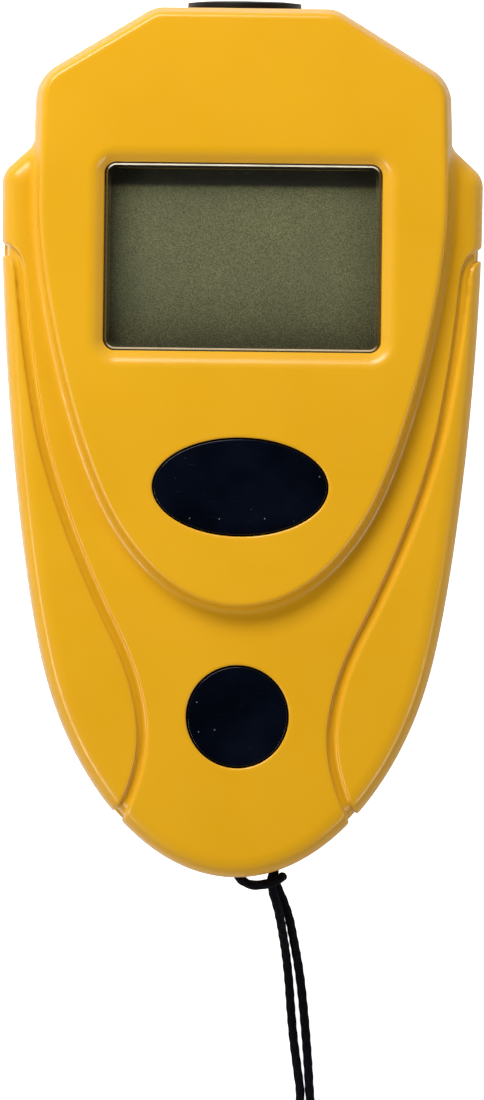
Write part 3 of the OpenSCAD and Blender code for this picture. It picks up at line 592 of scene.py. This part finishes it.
class Grid:
    """A box of points, over which fields are worked out and turned into a mesh."""

    def __init__(self, low, high, step):
        self.axes = [np.arange(a - 2 * step, b + 2.5 * step, step) for a, b in zip(low, high)]
        self.step = step
        self.flat = np.meshgrid(self.axes[0], self.axes[1], indexing="ij")
        self.x, self.y, self.z = (
            self.axes[0][:, None, None], self.axes[1][None, :, None], self.axes[2][None, None, :]
        )

    def over(self, function, *values):
        """A field that depends only on x and y."""
        return function(*self.flat, *values)[:, :, None]

    def slab(self, outline, low, high, r=0.0):
        """A flat field's solid between two heights, with edges rounded to r."""
        return overlap(outline + 0 * self.z, np.maximum(low - self.z, self.z - high) + 0 * outline, r)

    def rod(self, x, y, r, low, high):
        """An upright cylinder."""
        return self.slab(np.hypot(self.x - x, self.y - y) - r, low, high)

    def block(self, low, high, r=0.0):
        """A box with round upright edges."""
        return self.slab(self.over(box_distance, low[:2], high[:2], r), low[2], high[2])

    def mesh(self, name, field, share):
        """The surface where the field is zero, thinned to a share of its faces."""
        field = np.ascontiguousarray(field, np.float32)
        slope = np.gradient(field, self.step)
        inside = field < 0
        cells = np.array(field.shape) - 1
        points, normals, owners, quads = [], [], [], []
        for axis in range(3):
            lower = [slice(None)] * 3
            upper = [slice(None)] * 3
            lower[axis], upper[axis] = slice(None, -1), slice(1, None)
            change = inside[tuple(lower)] != inside[tuple(upper)]
            u, v = (axis + 1) % 3, (axis + 2) % 3
            for side in (u, v):
                edge = [slice(None)] * 3
                edge[side] = slice(0, 1)
                change[tuple(edge)] = False
                edge[side] = slice(-1, None)
                change[tuple(edge)] = False
            start = np.argwhere(change)
            end = start.copy()
            end[:, axis] += 1
            f0, f1 = field[tuple(start.T)], field[tuple(end.T)]
            t = f0 / (f0 - f1)
            at = start.astype(float)
            at[:, axis] += t
            n = np.stack([g[tuple(start.T)] * (1 - t) + g[tuple(end.T)] * t for g in slope], axis=1)
            n /= np.maximum(np.linalg.norm(n, axis=1, keepdims=True), 1e-9)
            around = []
            for du, dv in ((0, 0), (1, 0), (1, 1), (0, 1)):
                cell = start.copy()
                cell[:, u] -= du
                cell[:, v] -= dv
                around.append(np.ravel_multi_index(cell.T, cells))
            quad = np.stack(around, axis=1)
            quad[f0 >= 0] = quad[f0 >= 0][:, ::-1]
            quads.append(quad)
            for owner in around:
                points.append(at)
                normals.append(n)
                owners.append(owner)
        points, normals = np.vstack(points), np.vstack(normals)
        used, owner = np.unique(np.concatenate(owners), return_inverse=True)
        count = np.bincount(owner)
        corner = np.stack(np.unravel_index(used, cells), axis=1)
        place = np.stack([np.bincount(owner, points[:, k]) / count for k in range(3)], axis=1)
        for _ in range(12):
            off = ((points - place[owner]) * normals).sum(1)[:, None] * normals
            place += np.stack([np.bincount(owner, off[:, k]) / count for k in range(3)], axis=1)
            place = np.clip(place, corner, corner + 1)
        quads = np.searchsorted(used, np.vstack(quads))
        origin = np.array([a[0] for a in self.axes])
        piece = new_piece(name, place * self.step + origin, quads)
        thin(piece, share)
        self.shade(piece, slope, origin)
        return piece

    def shade(self, piece, slope, origin):
        """Give each vertex the field's slope as its normal."""
        at = (points_of(piece) - origin) / self.step
        base = np.clip(at.astype(int), 0, np.array(slope[0].shape) - 2)
        t = at - base
        normal = np.zeros_like(at)
        for shift in np.ndindex(2, 2, 2):
            weight = np.prod(np.where(shift, t, 1 - t), axis=1)
            here = tuple((base + shift).T)
            normal += weight[:, None] * np.stack([g[here] for g in slope], axis=1)
        normal /= np.maximum(np.linalg.norm(normal, axis=1, keepdims=True), 1e-9)
        piece.data.normals_split_custom_set_from_vertices(normal.tolist())


def thin(piece, share):
    """Collapse a dense mesh to a share of its faces, keeping its shape."""
    modifier = piece.modifiers.new("thin", "DECIMATE")
    modifier.ratio = share
    bpy.context.view_layer.update()
    shown = piece.evaluated_get(bpy.context.evaluated_depsgraph_get())
    mesh = bpy.data.meshes.new_from_object(shown)
    piece.modifiers.remove(modifier)
    piece.data = mesh
    mesh.shade_smooth()


# ---------- case ----------

STEP = 0.25
FRONT_LOW, FRONT_HIGH = box_mm("front_shell")
BACK_LOW, BACK_HIGH = box_mm("back_shell")
DECK_TOP = FRONT_HIGH[2] - 2.5
WALL = 2.0
PARTING = FRONT_LOW[2]
CENTRE_EDGE, DECK_EDGE = 1.1, 1.8  # heights of the CAD bevels round the raised centre and the deck
CENTRE_LEAN, HEAD_LEAN = 0.1, 0.26  # slope of the raised centre's wall, and round the sensor end
HEAD_START, HEAD_BLEND = 28, 8  # where one slope turns into the other
DECK_SLOPE_W, DECK_SLOPE_D = 1.75, 0.95  # width and drop of the sloping band round the deck
CENTRE_ROUND, DECK_CREST, DECK_ROUND, BACK_ROUND = 0.5, 0.4, 1.1, 3.2  # outer roundings
COVE, SHOULDER_FILLET = 0.95, 0.6  # hollow roundings below the raised centre and the head
DRAFT = math.tan(math.radians(1.2))
GROOVE_W, GROOVE_D = 1.25, 0.6
WINDOW_R = 1.4
WINDOW_BEAD, WINDOW_LEDGE = 2.2, 0.7  # widths of the frame behind the window and of its seat
WINDOW_FRAME_RUN = 1.2  # run of the sloping frame for each millimetre of rise
BUTTON_GAP, BUTTON_FLANGE = 0.2, 1.2
HOLE_R = 6.2  # opening for the sensor collar
BOSS_R, BOSS_BORE_R = 3, 1
BOARD_POST_R, BOARD_BORE_R = 2.2, 0.8
HEAD_BORE_R, SHANK_BORE_R = 2.4, 1.2
BAY_HALF, BAY_WALL, BAY_ROOF = 11.6, 1.6, 1.2
DOOR_GAP, DOOR_END = 0.15, 11.0
HOOK_X, HOOK_Y, HOOK_HALF_W, HOOK_HALF_L = 7.5, 11.6, 2.7, 2.4
THUMB_HALF, LATCH_HALF = 7, 3.3

centre_line = smooth_loop(outline_at("front_shell", FRONT_HIGH[2] - CENTRE_EDGE))
deck_line = smooth_loop(outline_at("front_shell", DECK_TOP - DECK_EDGE))

# Middle of the right-hand groove, from one edge of the deck to the other
GROOVE_ROUTE = [
    (31, 23.1), (29.2, 22.9), (27.9, 22.2), (27.2, 21), (26.9, 19.4), (26.5, 15.4), (25.9, 10.6),
    (25.1, 5.4), (24.1, 0.2), (22.6, -5.2), (20.8, -10.4), (18.7, -15.6), (16.3, -20.9), (14.1, -25.4),
    (12.6, -29.4), (11.7, -33.4), (11.5, -36.8), (12, -40.2), (13.1, -43.6), (14.6, -46.4), (16, -48.6)
]


def case_fields(grid):
    """The raised centre's and the deck's outlines, and the groove's middle line, over the grid."""
    centre = grid.over(line_distance, centre_line, True)
    deck = grid.over(line_distance, deck_line, True)
    mirrored = np.abs(grid.flat[0])
    groove = line_distance(mirrored, grid.flat[1], smooth_line(GROOVE_ROUTE, 0.6), False)[:, :, None]
    return centre, deck, groove


def outer_case(grid, centre, deck):
    """The closed case, both shells as one rounded body."""
    lean = DRAFT * np.abs(grid.z - PARTING)
    angle = math.atan2(DECK_SLOPE_D, DECK_SLOPE_W)
    slope = (deck + DECK_SLOPE_W) * math.sin(angle) + (grid.z - DECK_TOP) * math.cos(angle)
    deck_top = overlap(grid.z - DECK_TOP + 0 * deck, slope, DECK_CREST)
    deck_part = overlap(deck + lean, deck_top, DECK_ROUND)
    at_head = np.clip((grid.y - HEAD_START) / HEAD_BLEND, 0, 1)
    slant = CENTRE_LEAN + (HEAD_LEAN - CENTRE_LEAN) * at_head
    raised = centre + lean + slant * np.maximum(grid.z - DECK_TOP, 0)
    centre_part = overlap(raised, grid.z - FRONT_HIGH[2] + 0 * centre, CENTRE_ROUND)
    fillet = SHOULDER_FILLET + (COVE - SHOULDER_FILLET) * np.clip((grid.z - DECK_TOP + 2) / 2, 0, 1)
    flat_back = overlap(join(deck, centre, SHOULDER_FILLET) + lean, BACK_LOW[2] - grid.z, BACK_ROUND)
    return overlap(join(deck_part, centre_part, fillet), flat_back)


def groove_cut(grid, body, groove):
    """The side grooves: a skin of the body taken off along their lines."""
    return overlap(groove - GROOVE_W / 2 + 0 * body, -(body + GROOVE_D), 0.12)


def nose_hole(grid):
    """The round opening for the sensor collar, through the front wall."""
    low, high = box_mm("nose_collar")
    across = np.hypot(grid.x, grid.z - (low[2] + high[2]) / 2)
    return overlap(across - HOLE_R + 0 * grid.y, (FRONT_HIGH[1] - WALL - 1) - grid.y + 0 * across)


def solid_centres(node):
    """The middle, in x and y, of each separate solid of a CAD node."""
    low, high = box_mm(node)
    co = points_of(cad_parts[node])
    middle = (low + high) / 2
    return [
        (co[pick][:, :2].min(0) + co[pick][:, :2].max(0)) / 2
        for right in (False, True) for far in (False, True)
        if (pick := ((co[:, 0] > middle[0]) == right) & ((co[:, 1] > middle[1]) == far)).any()
    ]


def front_shell():
    """The front shell, with its window seat, button holes, screw posts and grooves."""
    grid = Grid(FRONT_LOW, FRONT_HIGH, STEP)
    centre, deck, groove = case_fields(grid)
    body = outer_case(grid, centre, deck)
    body = cut(body, groove_cut(grid, body, groove), np.clip(0.3 + 0.3 * (deck + 0.8), 0.1, 0.4))
    body = overlap(body, PARTING - grid.z + 0 * body, 0.3)
    roof = join(
        grid.slab(deck + WALL, 0, DECK_TOP - WALL), grid.slab(centre + WALL, 0, FRONT_HIGH[2] - WALL)
    )
    body = cut(body, roof)
    window_low, window_high = box_mm("display_window")
    gasket_low, _ = box_mm("window_gasket")
    holder_low, holder_high = box_mm("lcd_holder")
    window = grid.over(box_distance, window_low[:2], window_high[:2], WINDOW_R)
    body = join(body, grid.slab(window - WINDOW_BEAD, holder_high[2], FRONT_HIGH[2] - WALL + 0.5), 0.3)
    for x, y in solid_centres("case_screws"):
        top = FRONT_HIGH[2] - WALL if y > 0 else DECK_TOP - WALL
        body = join(body, grid.rod(x, y, BOSS_R, PARTING, top + 0.5), 0.3)
        body = cut(body, grid.rod(x, y, BOSS_BORE_R, 0, top - 2))
    for x, y in solid_centres("board_screws"):
        post = grid.rod(x, y, BOARD_POST_R, box_mm("keypad_mat")[0][2], DECK_TOP - WALL + 0.5)
        body = join(body, post, 0.3)
        body = cut(body, grid.rod(x, y, BOARD_BORE_R, 0, DECK_TOP - WALL - 1))
    slope_start = window_high[2]
    steepness = 1 / math.hypot(1, WINDOW_FRAME_RUN)
    frame_side = (window - 0.06 - WINDOW_FRAME_RUN * (grid.z - slope_start)) * steepness
    body = cut(body, overlap(frame_side, slope_start - grid.z + 0 * window), 0.45)
    body = cut(body, grid.slab(window - 0.02, gasket_low[2], slope_start + 0.3))
    body = cut(body, grid.slab(window + WINDOW_LEDGE, 0, FRONT_HIGH[2]))
    for node in ("measure_button", "mode_button"):
        hole = grid.over(line_distance, button_outline(node, BUTTON_GAP), True)
        body = cut(body, grid.slab(hole, DECK_TOP - WALL - 1, FRONT_HIGH[2] + 5), 0.1)
    body = cut(body, nose_hole(grid), 0.25)
    piece = grid.mesh("front_shell_skin", body, 0.3)
    piece.data.materials.append(yellow)
    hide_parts("front_shell")
    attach(piece, "case")


def back_shell():
    """The back shell, with its tongue, battery bay, door opening, screw holes and lanyard post."""
    grid = Grid(BACK_LOW, BACK_HIGH, STEP * 1.2)
    centre, deck, groove = case_fields(grid)
    body = outer_case(grid, centre, deck)
    side_only = np.maximum(groove_cut(grid, body, groove), BACK_ROUND - grid.z)
    body = cut(body, side_only, 0.3)
    inner = join(deck, centre) + WALL
    tongue = grid.slab(join(deck, centre) + WALL / 2, PARTING - 1, PARTING + 1.2)
    body = join(overlap(body, grid.z - PARTING + 0 * body, 0.3), tongue)
    body = cut(body, grid.slab(inner, WALL, 40))
    door_low, door_high = box_mm("battery_door")
    cells_high = np.maximum(box_mm("battery_left")[1], box_mm("battery_right")[1])
    bay_low = np.array([-BAY_HALF, box_mm("bridge_contact")[0][1], -1])
    bay_high = np.array([BAY_HALF, box_mm("positive_contact")[1][1], cells_high[2] + 0.25])
    bay_outside = grid.block(
        (*(bay_low[:2] - BAY_WALL), WALL), (*(bay_high[:2] + BAY_WALL), bay_high[2] + BAY_ROOF)
    )
    body = join(body, bay_outside, 0.3)
    for x, y in solid_centres("case_screws"):
        body = join(body, grid.rod(x, y, BOSS_R, 1, PARTING), 0.3)
    body = cut(body, grid.block(bay_low, bay_high))
    opening_low = (door_low[0] - DOOR_GAP, bay_low[1], -1)
    opening_high = (door_high[0] + DOOR_GAP, DOOR_END, WALL)
    body = cut(body, grid.block(opening_low, opening_high, 0.4), 0.2)
    hooks = np.abs(np.abs(grid.flat[0]) - HOOK_X) - HOOK_HALF_W
    slot = np.maximum(hooks, np.abs(grid.flat[1] - HOOK_Y) - HOOK_HALF_L)[:, :, None]
    body = cut(body, grid.slab(slot, WALL, 4.4))
    thumb = grid.over(box_distance, (-THUMB_HALF, bay_low[1] - 3), (THUMB_HALF, bay_low[1] + 3), 3)
    body = cut(body, grid.slab(thumb, -1, 1.2), 0.4)
    body = cut(body, grid.block((-LATCH_HALF, bay_low[1] - 1.1, 0), (LATCH_HALF, bay_low[1] + 0.1, 3.8)))
    for x, y in solid_centres("case_screws"):
        body = cut(body, grid.rod(x, y, HEAD_BORE_R, -1, 4), 0.3)
        body = cut(body, grid.rod(x, y, SHANK_BORE_R, 3, 14))
    body = lanyard_post(grid, body, deck)
    body = cut(body, nose_hole(grid), 0.25)
    piece = grid.mesh("back_shell_skin", body, 0.3)
    piece.data.materials.append(yellow)
    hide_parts("back_shell")
    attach(piece, "case")


POST = (2.5, 1.6, 8.6)  # middle of the lanyard post: x, distance in from the tail, height
POST_R, SLOT_R, SLOT_H = 1.55, 3.25, 3.4


def lanyard_post(grid, body, deck):
    """A block in the tail, with a slot that runs round an upright post."""
    y = BACK_LOW[1] + POST[1]
    block = grid.slab(
        overlap(deck + 0.5, grid.over(box_distance, (-4, BACK_LOW[1] - 1), (9, BACK_LOW[1] + 6.6), 0.5)),
        4.9, PARTING
    )
    across = np.hypot(grid.x - POST[0], grid.y - y)
    ring = np.maximum(across - SLOT_R, POST_R - across)
    slot = grid.slab(ring, POST[2] - SLOT_H / 2, POST[2] + SLOT_H / 2)
    return cut(join(body, block, 0.3), slot, 0.35)


# ---------- buttons ----------

def button_outline(node, gap=0.0):
    """The ellipse or circle of a button's cap, moved out by a gap."""
    low, high = box_mm(node)
    return ((low + high) / 2)[:2] + ((high - low)[:2] / 2 - BUTTON_FLANGE + gap) * circle(96)


def shrunk(outline, inset):
    """An outline drawn towards its middle by an even inset."""
    along = np.roll(outline, -1, axis=0) - np.roll(outline, 1, axis=0)
    inward = np.stack([-along[:, 1], along[:, 0]], axis=1)
    return outline + inward / np.linalg.norm(inward, axis=1, keepdims=True) * inset


CAP_EDGE = 0.14  # rounding of a button cap's edge


def button(node, name, dish, flange_h, post_r=0.0, post_h=0.0):
    """A polished cap with a round edge and a slight dish, over its flange and any post below it."""
    low, high = box_mm(node)
    cap = button_outline(node)
    middle = cap.mean(0)
    top = high[2]
    flange_top = low[2] + post_h + flange_h
    flange = shrunk(cap, -BUTTON_FLANGE)
    levels = [(flange, flange_top - flange_h), (flange, flange_top)]
    levels += [(cap, flange_top), (cap, flange_top + 0.05)]
    if post_r:
        post = middle + post_r * circle(len(cap))
        levels = [(post, low[2]), (post, flange_top - flange_h - 0.05)] + levels
    for turn in np.linspace(0, math.pi / 2, 9):
        inset, drop = CAP_EDGE * (1 - math.cos(turn)), CAP_EDGE * (1 - math.sin(turn))
        levels.append((shrunk(cap, inset), top - drop))
    rim = shrunk(cap, CAP_EDGE)
    for share in np.linspace(0, 1, 12)[1:-1]:
        depth = dish * math.sin(share * math.pi / 2)**2
        levels.append((rim + (middle - rim) * share, top - depth))
    piece = loft(name, [level_ring(*level) for level in levels])
    crease(piece, 50)
    piece.data.materials.append(gloss_black)
    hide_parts(node)
    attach(piece, node)


def crease(piece, angle):
    """Keep edges sharper than an angle sharp."""
    piece.data.set_sharp_from_angle(angle=math.radians(angle))


# ---------- sensor nose ----------

def nose_collar():
    """The black collar, turned from a profile that grips the case wall."""
    low, high = box_mm("nose_collar")
    centre = ((low[0] + high[0]) / 2, 0, (low[2] + high[2]) / 2)
    r, neck_r, bore_r = (high[0] - low[0]) / 2, HOLE_R - 0.05, 5.0
    back, front = low[1], high[1]
    wall_out = FRONT_HIGH[1]
    wall_in = wall_out - WALL
    corners = [
        (bore_r, back, 0.1), (r, back, 0.3), (r, wall_in, 0.15), (neck_r, wall_in, 0),
        (neck_r, wall_out, 0), (r, wall_out, 0.1), (r, wall_out + 0.62, 0.12), (5.1, front, 0.8),
        (4.4, front - 0.05, 0.2), (4.25, wall_in + 0.8, 0), (bore_r, wall_in + 0.8, 0)
    ]
    piece = turned("nose_collar_ring", rounded_profile(corners), centre, 128)
    crease(piece, 40)
    piece.data.materials.append(black_matte)
    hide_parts("nose_collar")
    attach(piece, "case")


# ---------- display ----------

def display_window():
    """The clear window, with a narrow bevel along its edge that catches light and carries a painted
    highlight and painted shade.
    """
    low, high = box_mm("display_window")
    sides = [(low[0], low[1]), (high[0], low[1]), (high[0], high[1]), (low[0], high[1])]
    outline = rounded_profile([(x, y, WINDOW_R) for x, y in sides], 8)
    gap, bevel = 0.17, 0.2
    levels = [(gap, low[2]), (gap, high[2] - bevel), (gap + bevel, high[2])]
    piece = loft("display_window_pane", [level_ring(shrunk(outline, inset), z) for inset, z in levels])
    crease(piece, 20)
    piece.data.materials.append(acrylic)
    piece.data.materials.append(acrylic_edge)
    n = len(outline)
    for face in piece.data.polygons:
        face.material_index = 1 if n <= face.index < 2 * n else 0
    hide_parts("display_window")
    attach(piece, "case")


# ---------- lanyard ----------

CORD_D = 1.1
BRAID_STRANDS = 8
BRAID_PITCH = 1.7  # length of one turn of the braid
BRAID_KNOB = 0.025  # how far the strands stand out, as a share of the radius
# Route of the cord from inside the slot, down to the table and on to the hank
CORD_OUT = [
    (2.5, -49.2, 8), (3.8, -49.6, 8), (4.7, -50.7, 8), (4.9, -52, 8), (4.85, -53.2, 7.95),
    (5.2, -54.2, 7.6), (5.7, -55.3, 7.1), (6.25, -56.6, 6.3), (6.85, -58.4, 5), (7.25, -60.2, 3.6),
    (7.65, -62.1, 2.2), (8.05, -64.2, 1.1), (8.4, -66.5, 0.65), (8.75, -69.5, 0.55), (9.1, -73, 0.55),
    (9.4, -76.6, 0.55), (9.65, -80, 0.55), (10.1, -83, 0.55), (11.1, -86, 0.55), (12.5, -88.8, 0.6),
    (13.6, -91.6, 0.8), (14, -95, 0.95)
]
# Route from the hank back up to the post, through the slot, round both strands and in again
CORD_BACK = [
    (3, -95, 2.05), (3.35, -91.6, 1.6), (4.7, -88.6, 0.95), (6.6, -85.9, 0.6), (7.95, -83, 0.55),
    (8.45, -80, 0.55), (8.05, -76.6, 0.55), (7.55, -73, 0.55), (7.2, -69.5, 0.55), (6.95, -66.5, 0.7),
    (6.7, -64.2, 1.4), (6.4, -62.1, 2.9), (6.05, -60.2, 4.7), (5.7, -58.4, 6.5), (5.25, -56.6, 8),
    (4.75, -55, 8.9), (4.55, -53.4, 9.2), (4.85, -52, 9.2), (4.6, -50.7, 9.2), (3.8, -49.6, 9.2),
    (2.5, -49.2, 9.2), (1.2, -49.6, 9.2), (0.3, -50.7, 9.2), (0.1, -52, 9.25), (0.6, -53.2, 9.5),
    (1.9, -54.1, 10.25), (3.5, -54.1, 10.65), (4.8, -53.75, 10.3), (5.65, -53.25, 9.55),
    (5.9, -53.1, 8.3), (5.65, -53.25, 7.05), (4.8, -53.75, 6.3), (3.5, -54.1, 6), (1.9, -54.1, 6.5),
    (0.6, -53.3, 7.5), (0.1, -52, 7.95), (0.3, -50.7, 8), (1.2, -49.6, 8), (2.5, -49.2, 8)
]
HANK_X, HANK_HIGH_Y, HANK_LOW_Y = 8.5, -95.0, -109.5
HANK_R, HANK_INNER_R = 5.5, 3.3
HANK_LAYER_TURNS = 2.0
HANK_LEVELS = (0.95, 2.05)


def hank_turns(per_turn=40):
    """Oblong turns of the put-away cord: inwards on the lower layer, then outwards on the upper one."""
    straight = HANK_HIGH_Y - HANK_LOW_Y
    end_share = (2 * straight + math.pi * HANK_R) / (2 * straight + 2 * math.pi * HANK_R)
    total = 2 * HANK_LAYER_TURNS - 1 + end_share
    out = []
    for i in range(1, int(total * per_turn)):
        turn = i / per_turn
        if turn < HANK_LAYER_TURNS:
            r = HANK_R + (HANK_INNER_R - HANK_R) * turn / HANK_LAYER_TURNS
        else:
            share = (turn - HANK_LAYER_TURNS) / (total - HANK_LAYER_TURNS)
            r = HANK_INNER_R + (HANK_R - HANK_INNER_R) * share
        rise = min(1.0, max(0.0, (turn - HANK_LAYER_TURNS + 0.15) / 0.3))
        z = HANK_LEVELS[0] + (HANK_LEVELS[1] - HANK_LEVELS[0]) * rise * rise * (3 - 2 * rise)
        half_turn = straight + math.pi * r
        second, along = divmod((turn % 1.0) * 2 * half_turn, half_turn)
        angle = max(0.0, along - straight) / r
        x = r * math.cos(angle)
        y = straight / 2 - min(along, straight) - r * math.sin(angle)
        side = -1 if second else 1
        out.append((HANK_X + side * x, (HANK_HIGH_Y + HANK_LOW_Y) / 2 + side * y, z))
    return out


def tube(name, line, d, sides):
    """A round tube along a line, with UVs in millimetres along it and turns round it."""
    along = np.gradient(line, axis=0)
    along /= np.linalg.norm(along, axis=1, keepdims=True)
    u = np.cross(along[0], (0, 0, 1.0))
    frames = []
    for direction in along:
        u = u - direction * (u @ direction)
        u /= np.linalg.norm(u)
        frames.append((u.copy(), np.cross(direction, u)))
    turns = np.arange(sides) * 2 * math.pi / sides
    run = np.concatenate([[0], np.cumsum(np.linalg.norm(np.diff(line, axis=0), axis=1))])
    rings = []
    for p, (a, b), here in zip(line, frames, run):
        knob = 1 + BRAID_KNOB * np.cos(2 * turns + 2 * math.pi * here / BRAID_PITCH)
        knob *= 1 + BRAID_KNOB * np.cos(2 * turns - 2 * math.pi * here / BRAID_PITCH)
        rings.append(p + d / 2 * knob[:, None] * (np.cos(turns)[:, None] * a + np.sin(turns)[:, None] * b))
    piece = loft(name, rings)
    layer = piece.data.uv_layers.new(name="cord")
    last = len(rings) - 1
    for face in piece.data.polygons:
        ring, side = divmod(face.index, sides)
        for k, loop in enumerate(face.loop_indices):
            if ring < last:
                layer.data[loop].uv = (run[ring + (k > 1)], (side + (k in (1, 2))) / sides)
            else:
                layer.data[loop].uv = (run[0] if ring == last else run[-1], 0)
    return piece


def lanyard():
    """The whole braided cord, from inside the slot round the hank and back."""
    line = smooth_line(CORD_OUT + hank_turns() + CORD_BACK, 0.3)
    piece = tube("lanyard_braid", line, CORD_D, 14)
    piece.data.materials.append(braid)
    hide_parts("lanyard_cord", "lanyard_hank")
    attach(piece, "case")
    tie = soften("lanyard_tie", 0.12)


# ---------- everything together ----------

add_camera()
add_stage()
yellow = moulded_plastic("yellow_abs", (0.80, 0.41, 0.010), (0.765, 0.385, 0.007))
gloss_black = gloss_plastic("polished_black", (0.0008, 0.0016, 0.0042))
black_matte = moulded_plastic(
    "matt_black", (0.003, 0.0026, 0.0024), (0.006, 0.005, 0.0045), 0.5, 0.005, 0.05, 0.2
)
grey_silicone = soft_rubber("grey_silicone", (0.09, 0.09, 0.10))
carbon = soft_rubber("carbon_rubber", (0.018, 0.018, 0.02), 0.6)
acrylic = window_material()
acrylic_edge = window_edge_material()
braid = braid_material((0.0014, 0.0014, 0.0034))

lanyard()
front_shell()
back_shell()
button("measure_button", "measure_button_cap", 0.25, 1.2, 2.8, 2.2)
button("mode_button", "mode_button_cap", 0.2, 0.95)
nose_collar()
display_window()

# Finish of each CAD node that shows as it is, and the width of its softened edges
FINISHES = {
    # The window gasket wears a painted-shade copy of the display's look, at 0.85 of its light.
    "battery_door": (yellow, 0.15), "window_gasket": (lcd_material("display_edge", 0.85), 0),
    "keypad_mat": (grey_silicone, 0.15),
    "measure_dome": (grey_silicone, 0), "mode_dome": (grey_silicone, 0),
    "measure_plunger": (grey_silicone, 0.1), "mode_plunger": (grey_silicone, 0.1),
    "measure_pill": (carbon, 0.1), "mode_pill": (carbon, 0.1), "zebra_strips": (carbon, 0.1),
    "contact_pads": (metal("gold_plate", (0.95, 0.68, 0.28)), 0),
    "thermopile_leads": (metal("gold_wire", (0.95, 0.68, 0.28)), 0),
    "case_screws": (metal("zinc_plate", (0.62, 0.62, 0.63), 0.3), 0.12),
    "board_screws": (metal("zinc_plate_small", (0.62, 0.62, 0.63), 0.3), 0.1),
    "infrared_lens": (gloss_plastic("infrared_window", (0.03, 0.032, 0.036)), 0.15),
    "sensor_barrel": (black_matte, 0.15), "lcd_holder": (black_matte, 0.15), "buzzer": (black_matte, 0.2),
    "thermopile_can": (metal("nickel_can", (0.72, 0.71, 0.68)), 0.12),
    "crystal": (metal("nickel_crystal", (0.72, 0.71, 0.68), 0.2), 0.15),
    "bridge_contact": (metal("nickel_bridge", (0.75, 0.74, 0.71), 0.22), 0),
    "positive_contact": (metal("nickel_plus", (0.75, 0.74, 0.71), 0.22), 0),
    "negative_contact": (metal("nickel_minus", (0.75, 0.74, 0.71), 0.22), 0),
    "main_board": (board_material(), 0.1),
    "lcd_cell": (lcd_material("display_glass", 1.0), 0.1),
    "lcd_polariser": (lcd_material("display_film", 1.0), 0),
    "lcd_reflector": (soft_rubber("reflector_film", (0.45, 0.47, 0.4), 0.4), 0),
    "controller_chip": (soft_rubber("chip_epoxy", (0.012, 0.012, 0.012), 0.5), 0.1),
    "converter_chip": (soft_rubber("chip_epoxy_small", (0.012, 0.012, 0.012), 0.5), 0.1),
    "capacitors": (moulded_plastic("fired_ceramic", (0.38, 0.25, 0.12), (0.33, 0.21, 0.1)), 0.1),
    "battery_left": (cell_material(), 0.4), "battery_right": (cell_material(), 0.4),
    "lanyard_tie": (strap_material(), 0),
}
for node, (finish, edge) in FINISHES.items():
    piece = soften(node, edge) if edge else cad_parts[node]
    piece.data.materials.clear()
    piece.data.materials.append(finish)

for joint, node in (("measure_press", "measure_dome"), ("mode_press", "mode_dome")):
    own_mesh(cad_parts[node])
